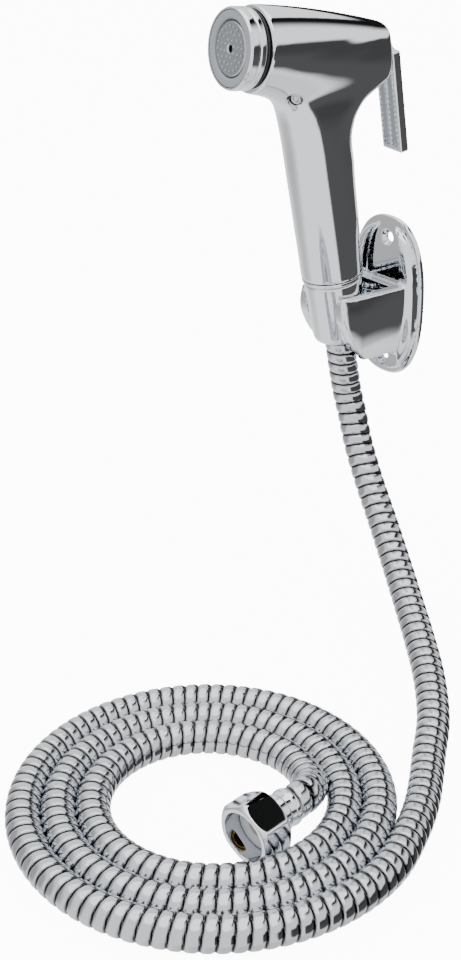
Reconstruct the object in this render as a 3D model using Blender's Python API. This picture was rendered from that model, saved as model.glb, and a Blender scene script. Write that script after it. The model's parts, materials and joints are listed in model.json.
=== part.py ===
"""Handheld bath sprayer: a trigger handset in a wall bracket, with a coiled metal hose.

World frame: the origin is the centre of the bracket's back face, the wall is the plane y = 0,
the object stands out from it towards -Y, and +Z is up. All lengths are in metres.
"""

import math

import bmesh
import bpy
import numpy as np
from mathutils import Matrix, Vector

MM = 0.001
GAP = 0.3 * MM                      # clearance between two pieces that touch
RUN = 0.15 * MM                     # radial clearance of a sliding or turning fit
SIDES = 36                          # facets round a turned piece
FINE_SIDES = 48                     # facets round the large chrome pieces

# ---- bracket ----
PLATE_WIDTH = 47.0 * MM
PLATE_HEIGHT = 76.5 * MM
PLATE_CENTRE_Z = 2.0 * MM
PLATE_ROUNDNESS = 2.45              # power of the plate's rounded outline; 2 is an ellipse
PLATE_THICK = 7.0 * MM
PLATE_EDGE = 4.0 * MM               # height of the plate's upright rim
PLATE_CROWN = 6.6 * MM              # how far the rounded shoulder runs in over the plate
POCKET_HALF_WIDTH = 12.8 * MM
POCKET_DEPTH = 4.0 * MM
POCKET_DRAFT = 1.2 * MM             # how much wider a pocket is at its mouth
UPPER_POCKET_SILL = 9.6 * MM
UPPER_POCKET_TOP = 37.0 * MM
LOWER_POCKET_TOP = -23.6 * MM
LOWER_POCKET_BOTTOM = -32.0 * MM
SCREW_HOLE_RADIUS = 2.2 * MM
SCREW_SEAT_RADIUS = 4.0 * MM
UPPER_SCREW_Z = 30.0 * MM
LOWER_SCREW_Z = -27.8 * MM
ARM_TOP_Z = 12.0 * MM               # level top of the two arms of the holder
BELLY_FOOT_Z = -21.5 * MM           # level underside of the holder
ARM_ROOT_HALF_WIDTH = 18.5 * MM     # half width of the arms where they grow out of the plate
ARM_ROOT_FOOT_Z = -29.5 * MM        # where the arms' root would end, below the level underside
# The root's outline, as (share of its half width, share of the way down to its foot).
ARM_ROOT_TAPER = ((1.0, 0.0), (0.94, 0.35), (0.82, 0.65), (0.62, 1.0))
HOLDER_ROUNDNESS = 2.4              # power of the holder's outline in plan
CLEAR = 80 * MM                     # reach of a cutting form, past everything on the plate
# The holder's wall round the socket, as (depth below the handle's foot, wall thickness).
HOLDER_WALLS = (
    (0.0, 1.2 * MM), (8.4 * MM, 2.6 * MM), (13.0 * MM, 4.2 * MM), (18.6 * MM, 5.2 * MM),
    (25.7 * MM, 5.1 * MM), (33.8 * MM, 3.8 * MM), (43.0 * MM, 1.0 * MM),
)
# How far the arms reach forward of the socket's axis, as (depth below the foot, reach).
HOLDER_FRONT = (
    (-4.0 * MM, 5.4 * MM), (3.0 * MM, 6.6 * MM), (8.4 * MM, 7.6 * MM), (13.0 * MM, 8.6 * MM),
    (18.0 * MM, 8.8 * MM), (24.0 * MM, 7.4 * MM), (31.0 * MM, 4.9 * MM), (35.0 * MM, 2.8 * MM),
    (43.0 * MM, -2.6 * MM),
)
WELL_HALF_WIDTH = 12.6 * MM         # space between the arms, behind the nut
WELL_DEPTH = 15.0 * MM

# ---- handset's place ----
LEAN = math.radians(10.0)           # the socket's axis leans out from the wall
PARKED_TURN = math.radians(-5.5)    # the handset is parked turned this far about the socket's axis
SEAT_OUT = 36.6 * MM                # from the wall to the handle's foot, on the axis
SEAT_UP = 20.3 * MM

# ---- conical nut and hose top, measured down from the handle's foot ----
NUT_TOP_RADIUS = 13.1 * MM
NUT_FOOT_RADIUS = 12.0 * MM
NUT_LENGTH = 29.6 * MM
NUT_FOOT_ROUND = 2.0 * MM
NUT_LIP = 1.6 * MM                  # thickness of the nut's inner shoulder
THREAD_RADIUS = 10.0 * MM
THREAD_LENGTH = 10.5 * MM
BUSH_FLANGE = 2.1 * MM
SPIGOT_LENGTH = 14.0 * MM
WATERWAY_RADIUS = 4.0 * MM
HOSE_RADIUS = 7.0 * MM
HOSE_THROAT_RADIUS = 9.0 * MM       # opening in the holder's underside, for the hose
SOCKET_OVERRUN = 8.0 * MM           # how far the socket's cutting form stands past the holder
SLEEVE_WALL = 0.7 * MM
TAIL_BORE_RADIUS = 3.2 * MM
WASHER_THICK = 2.0 * MM

# ---- handle ----
HANDLE_HEIGHT = 103.3 * MM          # from the handle's foot to the barrel's axis
HANDLE_HALF_WIDTH = 14.0 * MM
HANDLE_BORE_RADIUS = 9.8 * MM
CORE_TUBE_RADIUS = 6.6 * MM
CORE_TUBE_WALL = 1.6 * MM

# ---- barrel, measured along its axis from where the handle's axis crosses it ----
BARREL_TILT = math.radians(16.0)    # the barrel points this far above square to the handle
BARREL_FRONT = 29.0 * MM
BARREL_REAR = 38.6 * MM
BARREL_FRONT_RADIUS = 17.8 * MM
BARREL_REAR_HALF_WIDTH = 10.5 * MM
BARREL_REAR_HALF_HEIGHT = 11.5 * MM
CHAMBER_RADIUS = 12.6 * MM
CHAMBER_REAR = -11.0 * MM
NECK_RADIUS = 9.0 * MM
NECK_REAR = -25.5 * MM

# ---- spray head ----
COLLAR_RADIUS = 16.9 * MM
COLLAR_LENGTH = 8.2 * MM
COLLAR_RIM = 1.2 * MM
COLLAR_BORE_RADIUS = 10.0 * MM
COLLAR_SPIGOT_LENGTH = 9.0 * MM
FACE_SEAL_THICK = 1.0 * MM
FACE_THICK = 3.0 * MM
DISC_RADIUS = 11.4 * MM
DISC_THICK = 2.2 * MM
DISC_DOME = 1.0 * MM
JET_HOLE_RADIUS = 1.0 * MM
JET_RING_RADIUS = 6.6 * MM
JET_COUNT = 8

# ---- valve ----
HOUSING_FRONT = 17.0 * MM
INLET_CHAMBER_RADIUS = 6.4 * MM
INLET_CHAMBER_REAR = -14.0 * MM
SEAT_WALL_REAR = 2.2 * MM
SEAT_PLANE = 4.7 * MM               # the face that the rubber disc closes on
SEAT_ORIFICE_RADIUS = 4.3 * MM
OUTLET_CHAMBER_RADIUS = 9.6 * MM
STEM_RADIUS = 2.2 * MM
STEM_HEAD_RADIUS = 6.6 * MM
STEM_HEAD_THICK = 1.8 * MM
STEM_SPIGOT = 3.0 * MM
STEM_REAR = -32.9 * MM
VALVE_DISC_RADIUS = 7.0 * MM
VALVE_DISC_THICK = 2.0 * MM
O_RING_THICK = 1.8 * MM
GLAND_RADIUS = 4.6 * MM
GLAND_FRONT = -17.5 * MM
RETAINER_THICK = 2.0 * MM
SPRING_RADIUS = 5.2 * MM
SPRING_WIRE_RADIUS = 0.45 * MM
SPRING_TURNS = 3.5

# ---- lever ----
LEVER_HALF_WIDTH = 6.8 * MM
LEVER_DEPTH = 4.7 * MM
LEVER_LENGTH = 46.0 * MM
LEVER_WALL = 1.8 * MM
LEVER_FLOOR = 1.6 * MM
LEVER_RIB_HALF_WIDTH = 0.6 * MM
LEVER_OUT = 43.8 * MM               # from the handle's axis to the lever's outer face
LEVER_TOP = HANDLE_HEIGHT - 11.7 * MM   # above the handle's foot, a set drop below the barrel
TONGUE_HALF_WIDTH = 3.4 * MM
PIVOT_BACK = -36.5 * MM             # along the barrel
PIVOT_UP = 6.3 * MM                 # above the barrel's axis
PIVOT_BOSS_RADIUS = 3.3 * MM
PIN_RADIUS = 1.25 * MM
PIN_HALF_LENGTH = 7.5 * MM
SLOT_FRONT = -30.2 * MM
SLOT_HALF_HEIGHT_DOWN = 8.0 * MM

# ---- retaining screw in the throat of the handle ----
SCREW_HEIGHT = HANDLE_HEIGHT - 15.7 * MM
SCREW_ROUND = math.radians(33.0)    # turned from the front of the handle towards +X
SCREW_PROUD = 2.7 * MM              # how far the throat stands out past the handle there
SCREW_HEAD_RADIUS = 2.4 * MM
SCREW_HEAD_DEPTH = 1.6 * MM
SCREW_SHANK_RADIUS = 1.2 * MM
SCREW_SHANK_LENGTH = 2.6 * MM

# ---- hose ----
FLOOR_Z = -140.0 * MM
COIL_CENTRE = (117.0 * MM, -193.5 * MM)
COIL_OUTER_RADIUS = 81.0 * MM
COIL_INNER_RADIUS = 43.5 * MM
COIL_CORNER = 4.0 * MM
HOSE_STEP = 2.2                     # hose points stand this many diameters apart
HOSE_SIDES_RESOLUTION = 3
LEAD_IN = 7.0 * MM                  # straight length of hose before each of its fittings
# Where the hose runs from the conical nut down to the coil, and from the coil to its end nut.
DROP_ROUTE = (
    (0.0015, -0.0262, -0.040), (0.0050, -0.0258, -0.050), (0.0115, -0.0268, -0.064),
    (0.0225, -0.0297, -0.0775), (0.0375, -0.0345, -0.0905), (0.0550, -0.0418, -0.1020),
    (0.0737, -0.0510, -0.1115), (0.0945, -0.0628, -0.1185), (0.1150, -0.0763, -0.1235),
    (0.1335, -0.0917, -0.1280), (0.1430, -0.1021, -0.1305), (0.1470, -0.1071, -0.1315),
)
TAIL_ROUTE = (
    (0.0920, -0.1706, -0.1330), (0.0995, -0.1634, -0.1330), (0.1100, -0.1593, -0.1328),
    (0.1215, -0.1590, -0.1318), (0.1330, -0.1628, -0.1295),
)
TAIL_END = (0.1427, -0.1765, -0.1263)       # where the tail goes into its sleeve
END_HEADING = (0.10, -0.98, -0.06)          # the way the hose's far end points

# ---- far end ----
END_SLEEVE_LENGTH = 11.0 * MM
END_NUT_ACROSS_FLATS = 24.0 * MM
END_NUT_LENGTH = 14.0 * MM
END_NUT_LIP = 2.5 * MM
END_NUT_BORE_RADIUS = 9.9 * MM
END_FLANGE_THICK = 1.5 * MM
END_STEM_RADIUS = 5.6 * MM

CHROME = ("polished_chrome", (0.78, 0.79, 0.81), 1.0, 0.08)
SATIN_CHROME = ("satin_chrome", (0.55, 0.56, 0.58), 1.0, 0.28)
GREY_PLASTIC = ("grey_plastic", (0.42, 0.43, 0.45), 0.0, 0.45)
WHITE_PLASTIC = ("white_acetal", (0.85, 0.85, 0.83), 0.0, 0.4)
BLACK_RUBBER = ("black_rubber", (0.03, 0.03, 0.03), 0.0, 0.7)
GREY_RUBBER = ("grey_rubber", (0.55, 0.56, 0.57), 0.0, 0.65)
BRASS = ("brass", (0.72, 0.55, 0.28), 1.0, 0.25)
STEEL = ("stainless_steel", (0.62, 0.62, 0.63), 1.0, 0.2)


def clear_scene():
    """Remove every object so that the script can run again in the same file."""
    for old in list(bpy.data.objects):
        bpy.data.objects.remove(old, do_unlink=True)


def material_of(finish):
    """Return the Principled material of a finish, made once."""
    name, colour, metallic, roughness = finish
    found = bpy.data.materials.get(name)
    if found:
        return found
    made = bpy.data.materials.new(name)
    made.use_nodes = True
    shader = made.node_tree.nodes["Principled BSDF"]
    shader.inputs["Base Color"].default_value = (*colour, 1.0)
    shader.inputs["Metallic"].default_value = metallic
    shader.inputs["Roughness"].default_value = roughness
    made.diffuse_color = (*colour, 1.0)
    return made


def add_object(name, data, finish, parent=None):
    """Link a new object in its parent's frame and give it its material."""
    made = bpy.data.objects.new(name, data)
    bpy.context.collection.objects.link(made)
    if finish:
        data.materials.append(material_of(finish))
    if parent:
        made.parent = parent
    return made


def add_empty(name, location, rotation, parent=None):
    """Add an empty that marks a joint's axis."""
    made = bpy.data.objects.new(name, None)
    bpy.context.collection.objects.link(made)
    made.empty_display_size = 10 * MM
    made.location = location
    made.rotation_euler = rotation
    made.parent = parent
    return made


def mesh_from(name, work, smooth=True):
    """Turn a bmesh into a mesh whose faces point out."""
    bmesh.ops.recalc_face_normals(work, faces=work.faces)
    data = bpy.data.meshes.new(name)
    work.to_mesh(data)
    work.free()
    if smooth:
        data.shade_smooth()
        data.set_sharp_from_angle(angle=math.radians(35))
    return data


def turned(name, profile, finish, parent=None, sides=SIDES):
    """Revolve a closed (radius, height) outline round Z; a radius of 0 closes on the axis."""
    work = bmesh.new()
    rings = []
    for radius, height in profile:
        if radius == 0:
            rings.append([work.verts.new((0, 0, height))] * sides)
            continue
        ring = []
        for step in range(sides):
            angle = math.tau * step / sides
            ring.append(work.verts.new((radius * math.cos(angle), radius * math.sin(angle), height)))
        rings.append(ring)
    for index, ring in enumerate(rings):
        other = rings[(index + 1) % len(rings)]
        for step in range(sides):
            after = (step + 1) % sides
            corners = [ring[step], ring[after], other[after], other[step]]
            face = []
            for vert in corners:
                if vert not in face:
                    face.append(vert)
            if len(face) > 2:
                work.faces.new(face)
    return add_object(name, mesh_from(name, work), finish, parent)


def lofted(name, rings, finish, parent=None):
    """Skin a list of rings of points, capped at both ends."""
    work = bmesh.new()
    rows = [[work.verts.new(point) for point in ring] for ring in rings]
    count = len(rows[0])
    for lower, upper in zip(rows, rows[1:]):
        for step in range(count):
            after = (step + 1) % count
            work.faces.new((lower[step], lower[after], upper[after], upper[step]))
    work.faces.new(list(reversed(rows[0])))
    work.faces.new(rows[-1])
    return add_object(name, mesh_from(name, work), finish, parent)


def hull(name, points, finish, parent=None):
    """The convex solid round a set of points."""
    work = bmesh.new()
    for point in points:
        work.verts.new(point)
    made = bmesh.ops.convex_hull(work, input=work.verts)
    loose = [item for item in made["geom_interior"] if isinstance(item, bmesh.types.BMVert)]
    bmesh.ops.delete(work, geom=loose, context="VERTS")
    return add_object(name, mesh_from(name, work), finish, parent)


def block(name, low, high, finish, parent=None):
    """A box between two corners."""
    points = [(x, y, z) for x in (low[0], high[0]) for y in (low[1], high[1]) for z in (low[2], high[2])]
    return hull(name, points, finish, parent)


def circle_points(radius, height, sides=SIDES):
    """Points of a level circle round Z."""
    return [
        Vector((radius * math.cos(math.tau * k / sides), radius * math.sin(math.tau * k / sides), height))
        for k in range(sides)
    ]


def superellipse(half_x, half_y, power, sides=FINE_SIDES):
    """Points of a rounded outline between an ellipse (power 2) and a rectangle."""
    points = []
    for step in range(sides):
        angle = math.tau * step / sides
        cosine = math.cos(angle)
        sine = math.sin(angle)
        x = half_x * math.copysign(abs(cosine) ** (2 / power), cosine)
        y = half_y * math.copysign(abs(sine) ** (2 / power), sine)
        points.append((x, y))
    return points


def as_cutter(tool):
    """Keep a cutting body out of the model."""
    tool.hide_render = True
    tool.display_type = "WIRE"
    return tool


def combine(target, tool, operation="DIFFERENCE"):
    """Cut a tool from the target, or join it to the target, with an exact Boolean."""
    as_cutter(tool)
    step = target.modifiers.new(tool.name, "BOOLEAN")
    step.operation = operation
    step.solver = "EXACT"
    step.object = tool


def socket_radius(below_foot):
    """Radius of the bracket's seat at a distance below the handle's foot."""
    share = (below_foot - BUSH_FLANGE - 2 * GAP) / NUT_LENGTH
    return NUT_TOP_RADIUS + share * (NUT_FOOT_RADIUS - NUT_TOP_RADIUS) + GAP


def in_world(frame, point):
    """A point of an empty's frame in world coordinates."""
    return frame @ Vector(point)


def plate_outline(inset, depth):
    """Points of the plate's rounded outline, drawn in by an inset, at a distance from the wall."""
    outline = superellipse(PLATE_WIDTH / 2 - inset, PLATE_HEIGHT / 2 - inset, PLATE_ROUNDNESS)
    return [Vector((x, -depth, PLATE_CENTRE_Z + z)) for x, z in outline]


def build_plate():
    """The oval wall plate with its shouldered edge."""
    shoulder = PLATE_THICK - PLATE_EDGE
    rings = [plate_outline(0, 0), plate_outline(0, PLATE_EDGE)]
    for share in (0.25, 0.5, 0.75, 1.0):
        turn = share * math.pi / 2
        inset = PLATE_CROWN * (1 - math.cos(turn))
        rings.append(plate_outline(inset, PLATE_EDGE + shoulder * math.sin(turn)))
    return lofted("bracket", rings, CHROME)


def build_arms(seat):
    """The holder's solid form: its bulging wall round the socket, drawn back to the plate."""
    points = []
    for below, wall in HOLDER_WALLS:
        half = socket_radius(below) + wall
        for x, y in superellipse(half, half, HOLDER_ROUNDNESS, SIDES):
            points.append(in_world(seat, (x, y, -below)))
    root = [(ARM_ROOT_HALF_WIDTH, 2 * ARM_TOP_Z)]
    root += [(wide * ARM_ROOT_HALF_WIDTH, down * ARM_ROOT_FOOT_Z) for wide, down in ARM_ROOT_TAPER]
    for x, z in root:
        points.append(Vector((x, -PLATE_THICK / 2, z)))
        points.append(Vector((-x, -PLATE_THICK / 2, z)))
    return hull("holder_arms", points, None)


def holder_front_form(seat):
    """The space behind the arms' curved front edge, which trims the holder."""
    points = []
    for side in (-CLEAR, CLEAR):
        for below, forward in HOLDER_FRONT:
            points.append(in_world(seat, (side, -forward, -below)))
        points.append(Vector((side, CLEAR, CLEAR)))
        points.append(Vector((side, CLEAR, -CLEAR)))
    return hull("holder_front_form", points, None)


def build_bracket(seat):
    """Wall bracket: plate, arms, conical socket open at the front, well, pockets and screw holes."""
    bracket = build_plate()
    arms = build_arms(seat)
    combine(arms, block("arm_top_cut", (-CLEAR, -CLEAR, ARM_TOP_Z), (CLEAR, CLEAR, CLEAR), None))
    combine(arms, block("belly_foot_cut", (-CLEAR, -CLEAR, -CLEAR), (CLEAR, CLEAR, BELLY_FOOT_Z), None))
    combine(arms, holder_front_form(seat), "INTERSECT")
    combine(bracket, arms, "UNION")
    nut_foot = BUSH_FLANGE + 2 * GAP + NUT_LENGTH
    socket = circle_points(socket_radius(-SOCKET_OVERRUN), SOCKET_OVERRUN)
    socket += circle_points(socket_radius(nut_foot + GAP), -nut_foot - GAP)
    combine(bracket, hull("socket_cut", [in_world(seat, point) for point in socket], None))
    throat = circle_points(HOSE_THROAT_RADIUS, 0.0)
    throat += circle_points(HOSE_THROAT_RADIUS, -nut_foot - 3 * SOCKET_OVERRUN)
    combine(bracket, hull("hose_throat_cut", [in_world(seat, point) for point in throat], None))
    well_floor = ARM_TOP_Z - WELL_DEPTH
    well = []
    for side in (-1, 1):
        well.append((side * WELL_HALF_WIDTH, -PLATE_THICK - 0.3 * MM, ARM_TOP_Z + 4 * MM))
        well.append((side * WELL_HALF_WIDTH * 0.8, -PLATE_THICK - 0.3 * MM, well_floor + 4 * MM))
        well.append((side * WELL_HALF_WIDTH, -SEAT_OUT + 4 * MM, ARM_TOP_Z + 4 * MM))
        well.append((side * WELL_HALF_WIDTH * 0.7, -SEAT_OUT + 8 * MM, well_floor))
    combine(bracket, hull("well_cut", well, None))
    add_pocket(bracket, "upper_pocket_cut", UPPER_POCKET_SILL, UPPER_POCKET_TOP)
    add_pocket(bracket, "lower_pocket_cut", LOWER_POCKET_TOP, LOWER_POCKET_BOTTOM)
    for name, height in (("upper_screw_cut", UPPER_SCREW_Z), ("lower_screw_cut", LOWER_SCREW_Z)):
        sink = PLATE_THICK - POCKET_DEPTH
        axis = add_empty(name + "_axis", (0, 0, height), (math.pi / 2, 0, 0))
        profile = (
            (0, -MM), (SCREW_HOLE_RADIUS, -MM), (SCREW_HOLE_RADIUS, sink - 1.9 * MM),
            (SCREW_SEAT_RADIUS, sink + 0.2 * MM), (SCREW_SEAT_RADIUS, sink + 0.6 * MM), (0, sink + 0.6 * MM),
        )
        combine(bracket, turned(name, profile, None, axis, 20))
    return bracket


def add_pocket(bracket, name, level, end):
    """Sink a screw pocket into the plate, from a level edge to a rounded end above or below it."""
    deep = PLATE_THICK - POCKET_DEPTH
    front = PLATE_THICK + 3 * MM
    points = []
    for depth, spread in ((deep, 0.0), (front, POCKET_DRAFT)):
        half_x = POCKET_HALF_WIDTH + spread
        rise = end - level + math.copysign(spread, end - level)
        for step in range(SIDES // 2 + 1):
            angle = math.pi * step / (SIDES // 2)
            x = half_x * math.copysign(abs(math.cos(angle)) ** 0.7, math.cos(angle))
            points.append(Vector((x, -depth, level + rise * math.sin(angle) ** 0.7)))
    combine(bracket, hull(name, points, None))


def barrel_section(along):
    """Half width, half height and roundness of the barrel at a place along its axis."""
    share = (along + BARREL_REAR) / (BARREL_FRONT + BARREL_REAR)
    swell = math.sin(share * math.pi / 2) ** 0.9
    half_x = BARREL_REAR_HALF_WIDTH + (BARREL_FRONT_RADIUS - BARREL_REAR_HALF_WIDTH) * swell
    half_y = BARREL_REAR_HALF_HEIGHT + (BARREL_FRONT_RADIUS - BARREL_REAR_HALF_HEIGHT) * swell
    return half_x, half_y, 2.7 - 0.7 * share


def build_barrel(barrel_axis):
    """Outer form of the barrel."""
    rings = []
    stations = 9
    for step in range(stations):
        along = -BARREL_REAR + (BARREL_FRONT + BARREL_REAR) * step / (stations - 1)
        half_x, half_y, power = barrel_section(along)
        rings.append([Vector((x, y, along)) for x, y in superellipse(half_x, half_y, power)])
    return lofted("handset_body", rings, CHROME, barrel_axis)


def barrel_point(along, up):
    """A point of the barrel's frame in the handset's frame, as (y, z)."""
    y = -along * math.cos(BARREL_TILT) + up * math.sin(BARREL_TILT)
    z = HANDLE_HEIGHT + along * math.sin(BARREL_TILT) + up * math.cos(BARREL_TILT)
    return y, z


def build_grip(handset_axis):
    """Outer form of the handle, with the web that runs back under the barrel."""
    heel_y, heel_z = barrel_point(-BARREL_REAR, -BARREL_REAR_HALF_HEIGHT)
    wrist = heel_z - 14 * MM
    half = HANDLE_HALF_WIDTH
    sections = [
        (0, -half, half, half, 2.0),
        (0.35 * wrist, -half - 0.4 * MM, half + 0.4 * MM, half + 0.2 * MM, 2.1),
        (0.75 * wrist, -half - 0.9 * MM, half + 0.7 * MM, half + 0.5 * MM, 2.2),
        (wrist, -half - 1.3 * MM, half + 1.6 * MM, half + 0.6 * MM, 2.3),
        (heel_z - 9 * MM, -half - 1.6 * MM, half + 4.5 * MM, half + 0.4 * MM, 2.4),
        (heel_z - 4.5 * MM, -half - 2.0 * MM, half + 10.5 * MM, half, 2.6),
        (heel_z - 0.6 * MM, -half - 2.5 * MM, heel_y - 1.2 * MM, half - 0.8 * MM, 2.9),
        (heel_z + 5 * MM, -half - 3.6 * MM, heel_y - 0.4 * MM, half - 1.6 * MM, 3.0),
        (heel_z + 12 * MM, -half - 6.0 * MM, heel_y - 3 * MM, half - 1.0 * MM, 2.6),
        (heel_z + 18 * MM, -half - 10.0 * MM, heel_y - 12 * MM, half - 1.0 * MM, 2.4),
    ]
    rings = []
    for height, front, rear, half_x, power in sections:
        middle = (front + rear) / 2
        outline = superellipse(half_x, (rear - front) / 2, power)
        rings.append([Vector((x, middle + y, height)) for x, y in outline])
    return lofted("grip_form", rings, None, handset_axis)


def build_handset_body(handset_axis, barrel_axis):
    """The one-piece chromed body, bored for the valve, the core tube, the stem and the lever."""
    body = build_barrel(barrel_axis)
    combine(body, build_grip(handset_axis), "UNION")
    bore = (
        (0, NECK_REAR - GAP), (NECK_RADIUS + RUN, NECK_REAR - GAP), (NECK_RADIUS + RUN, CHAMBER_REAR),
        (CHAMBER_RADIUS, CHAMBER_REAR), (CHAMBER_RADIUS, BARREL_FRONT + MM), (0, BARREL_FRONT + MM),
    )
    combine(body, turned("valve_bore_cut", bore, None, barrel_axis))
    stem_hole = (
        (0, -BARREL_REAR - MM), (STEM_RADIUS + 2 * GAP, -BARREL_REAR - MM),
        (STEM_RADIUS + 2 * GAP, NECK_REAR + MM), (0, NECK_REAR + MM),
    )
    combine(body, turned("stem_hole_cut", stem_hole, None, barrel_axis, 20))
    slot_half = TONGUE_HALF_WIDTH + GAP
    slot_low = (-slot_half, -SLOT_HALF_HEIGHT_DOWN, -BARREL_REAR - 2 * MM)
    slot_high = (slot_half, PIVOT_UP + PIVOT_BOSS_RADIUS + 2 * GAP, SLOT_FRONT)
    combine(body, block("lever_slot_cut", slot_low, slot_high, None, barrel_axis))
    pin_axis = add_empty("pin_bore_axis", (0, PIVOT_UP, PIVOT_BACK), (0, math.pi / 2, 0), barrel_axis)
    pin_bore = (
        (0, -20 * MM), (PIN_RADIUS + RUN, -20 * MM),
        (PIN_RADIUS + RUN, PIN_HALF_LENGTH + GAP), (0, PIN_HALF_LENGTH + GAP),
    )
    combine(body, turned("pin_bore_cut", pin_bore, None, pin_axis, 16))
    handle_bore = (
        (0, -MM), (HANDLE_BORE_RADIUS, -MM), (HANDLE_BORE_RADIUS, HANDLE_HEIGHT - 16 * MM),
        (0, HANDLE_HEIGHT - 16 * MM),
    )
    combine(body, turned("handle_bore_cut", handle_bore, None, handset_axis))
    screw_axis = add_screw_axis(handset_axis)
    screw_hole = (
        (0, -8 * MM), (SCREW_SHANK_RADIUS + RUN, -8 * MM),
        (SCREW_SHANK_RADIUS + RUN, -SCREW_HEAD_DEPTH - GAP),
        (SCREW_HEAD_RADIUS + GAP, -SCREW_HEAD_DEPTH - GAP), (SCREW_HEAD_RADIUS + GAP, 6 * MM), (0, 6 * MM),
    )
    combine(body, turned("screw_hole_cut", screw_hole, None, screw_axis, 20))
    return screw_axis


def add_screw_axis(handset_axis):
    """The retaining screw's axis, square to the handle's throat, on its front right side."""
    reach = HANDLE_HALF_WIDTH + SCREW_PROUD
    place = (reach * math.sin(SCREW_ROUND), -reach * math.cos(SCREW_ROUND), SCREW_HEIGHT)
    return add_empty("screw_axis", place, (math.radians(90), 0, SCREW_ROUND), handset_axis)


def build_screw(screw_axis):
    """Retaining screw with a domed head."""
    deep = -SCREW_HEAD_DEPTH
    profile = (
        (0, deep - SCREW_SHANK_LENGTH), (SCREW_SHANK_RADIUS, deep - SCREW_SHANK_LENGTH),
        (SCREW_SHANK_RADIUS, deep), (SCREW_HEAD_RADIUS, deep), (SCREW_HEAD_RADIUS, -0.5 * MM),
        (SCREW_HEAD_RADIUS * 0.7, 0.0), (0, 0.1 * MM),
    )
    turned("retaining_screw", profile, STEEL, screw_axis, 20)


def build_inlet(handset_axis):
    """Threaded bush in the handle's foot, its seal, and the core tube that carries the water up."""
    flange = -GAP - BUSH_FLANGE
    bush = (
        (WATERWAY_RADIUS, flange - THREAD_LENGTH), (THREAD_RADIUS - RUN, flange - THREAD_LENGTH),
        (THREAD_RADIUS - RUN, flange), (HANDLE_HALF_WIDTH - 0.6 * MM, flange),
        (HANDLE_HALF_WIDTH, flange + 0.6 * MM), (HANDLE_HALF_WIDTH, -GAP),
        (HANDLE_BORE_RADIUS - RUN, -GAP), (HANDLE_BORE_RADIUS - RUN, SPIGOT_LENGTH),
        (CORE_TUBE_RADIUS + RUN, SPIGOT_LENGTH), (CORE_TUBE_RADIUS + RUN, 4 * MM), (WATERWAY_RADIUS, 4 * MM),
    )
    turned("inlet_bush", bush, CHROME, handset_axis)
    top = HANDLE_HEIGHT - NECK_RADIUS / math.cos(BARREL_TILT) - 11 * MM
    inner = CORE_TUBE_RADIUS - CORE_TUBE_WALL
    tube = (
        (inner, 4 * MM + GAP), (CORE_TUBE_RADIUS, 4 * MM + GAP), (CORE_TUBE_RADIUS, top),
        (inner, top),
    )
    turned("core_tube", tube, WHITE_PLASTIC, handset_axis, 28)
    seal = (
        (CORE_TUBE_RADIUS + RUN, SPIGOT_LENGTH + GAP), (HANDLE_BORE_RADIUS - RUN, SPIGOT_LENGTH + GAP),
        (HANDLE_BORE_RADIUS - RUN, SPIGOT_LENGTH + GAP + O_RING_THICK),
        (CORE_TUBE_RADIUS + RUN, SPIGOT_LENGTH + GAP + O_RING_THICK),
    )
    turned("core_seal", seal, BLACK_RUBBER, handset_axis, 28)


def build_conical_nut(handset_axis):
    """The free-turning conical nut that joins the hose to the handset."""
    top = -GAP - BUSH_FLANGE - GAP
    foot = top - NUT_LENGTH
    lip_radius = HOSE_RADIUS + 0.35 * MM
    profile = (
        (THREAD_RADIUS, top), (NUT_TOP_RADIUS - 0.5 * MM, top), (NUT_TOP_RADIUS, top - 0.6 * MM),
        (NUT_FOOT_RADIUS, foot + NUT_FOOT_ROUND),
        (NUT_FOOT_RADIUS - 0.3 * NUT_FOOT_ROUND, foot + 0.3 * NUT_FOOT_ROUND),
        (NUT_FOOT_RADIUS - NUT_FOOT_ROUND, foot), (lip_radius, foot),
        (lip_radius, foot + 9.2 * MM), (THREAD_RADIUS, foot + 9.2 * MM + NUT_LIP),
    )
    turned("conical_nut", profile, CHROME, handset_axis, FINE_SIDES)
    return foot


def build_hose_top(handset_axis, nut_foot):
    """Washer, flanged insert and crimped sleeve at the top of the hose, inside the nut."""
    nipple = -GAP - BUSH_FLANGE - THREAD_LENGTH
    washer_top = nipple - GAP
    washer = (
        (WATERWAY_RADIUS, washer_top - WASHER_THICK), (THREAD_RADIUS - 2 * RUN, washer_top - WASHER_THICK),
        (THREAD_RADIUS - 2 * RUN, washer_top), (WATERWAY_RADIUS, washer_top),
    )
    turned("top_washer", washer, BLACK_RUBBER, handset_axis)
    flange_top = washer_top - WASHER_THICK - GAP
    hose_top = nut_foot + 3.0 * MM
    insert = (
        (TAIL_BORE_RADIUS, hose_top + GAP), (HOSE_RADIUS - SLEEVE_WALL - 2 * GAP, hose_top + GAP),
        (HOSE_RADIUS - SLEEVE_WALL - 2 * GAP, flange_top - 1.2 * MM),
        (THREAD_RADIUS - 3 * RUN, flange_top - 1.2 * MM),
        (THREAD_RADIUS - 3 * RUN, flange_top), (TAIL_BORE_RADIUS, flange_top),
    )
    turned("top_insert", insert, BRASS, handset_axis)
    sleeve = (
        (HOSE_RADIUS - SLEEVE_WALL, hose_top + GAP), (HOSE_RADIUS, hose_top + GAP),
        (HOSE_RADIUS, flange_top - 1.2 * MM - GAP), (HOSE_RADIUS - SLEEVE_WALL, flange_top - 1.2 * MM - GAP),
    )
    turned("top_sleeve", sleeve, SATIN_CHROME, handset_axis)
    return hose_top


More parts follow.
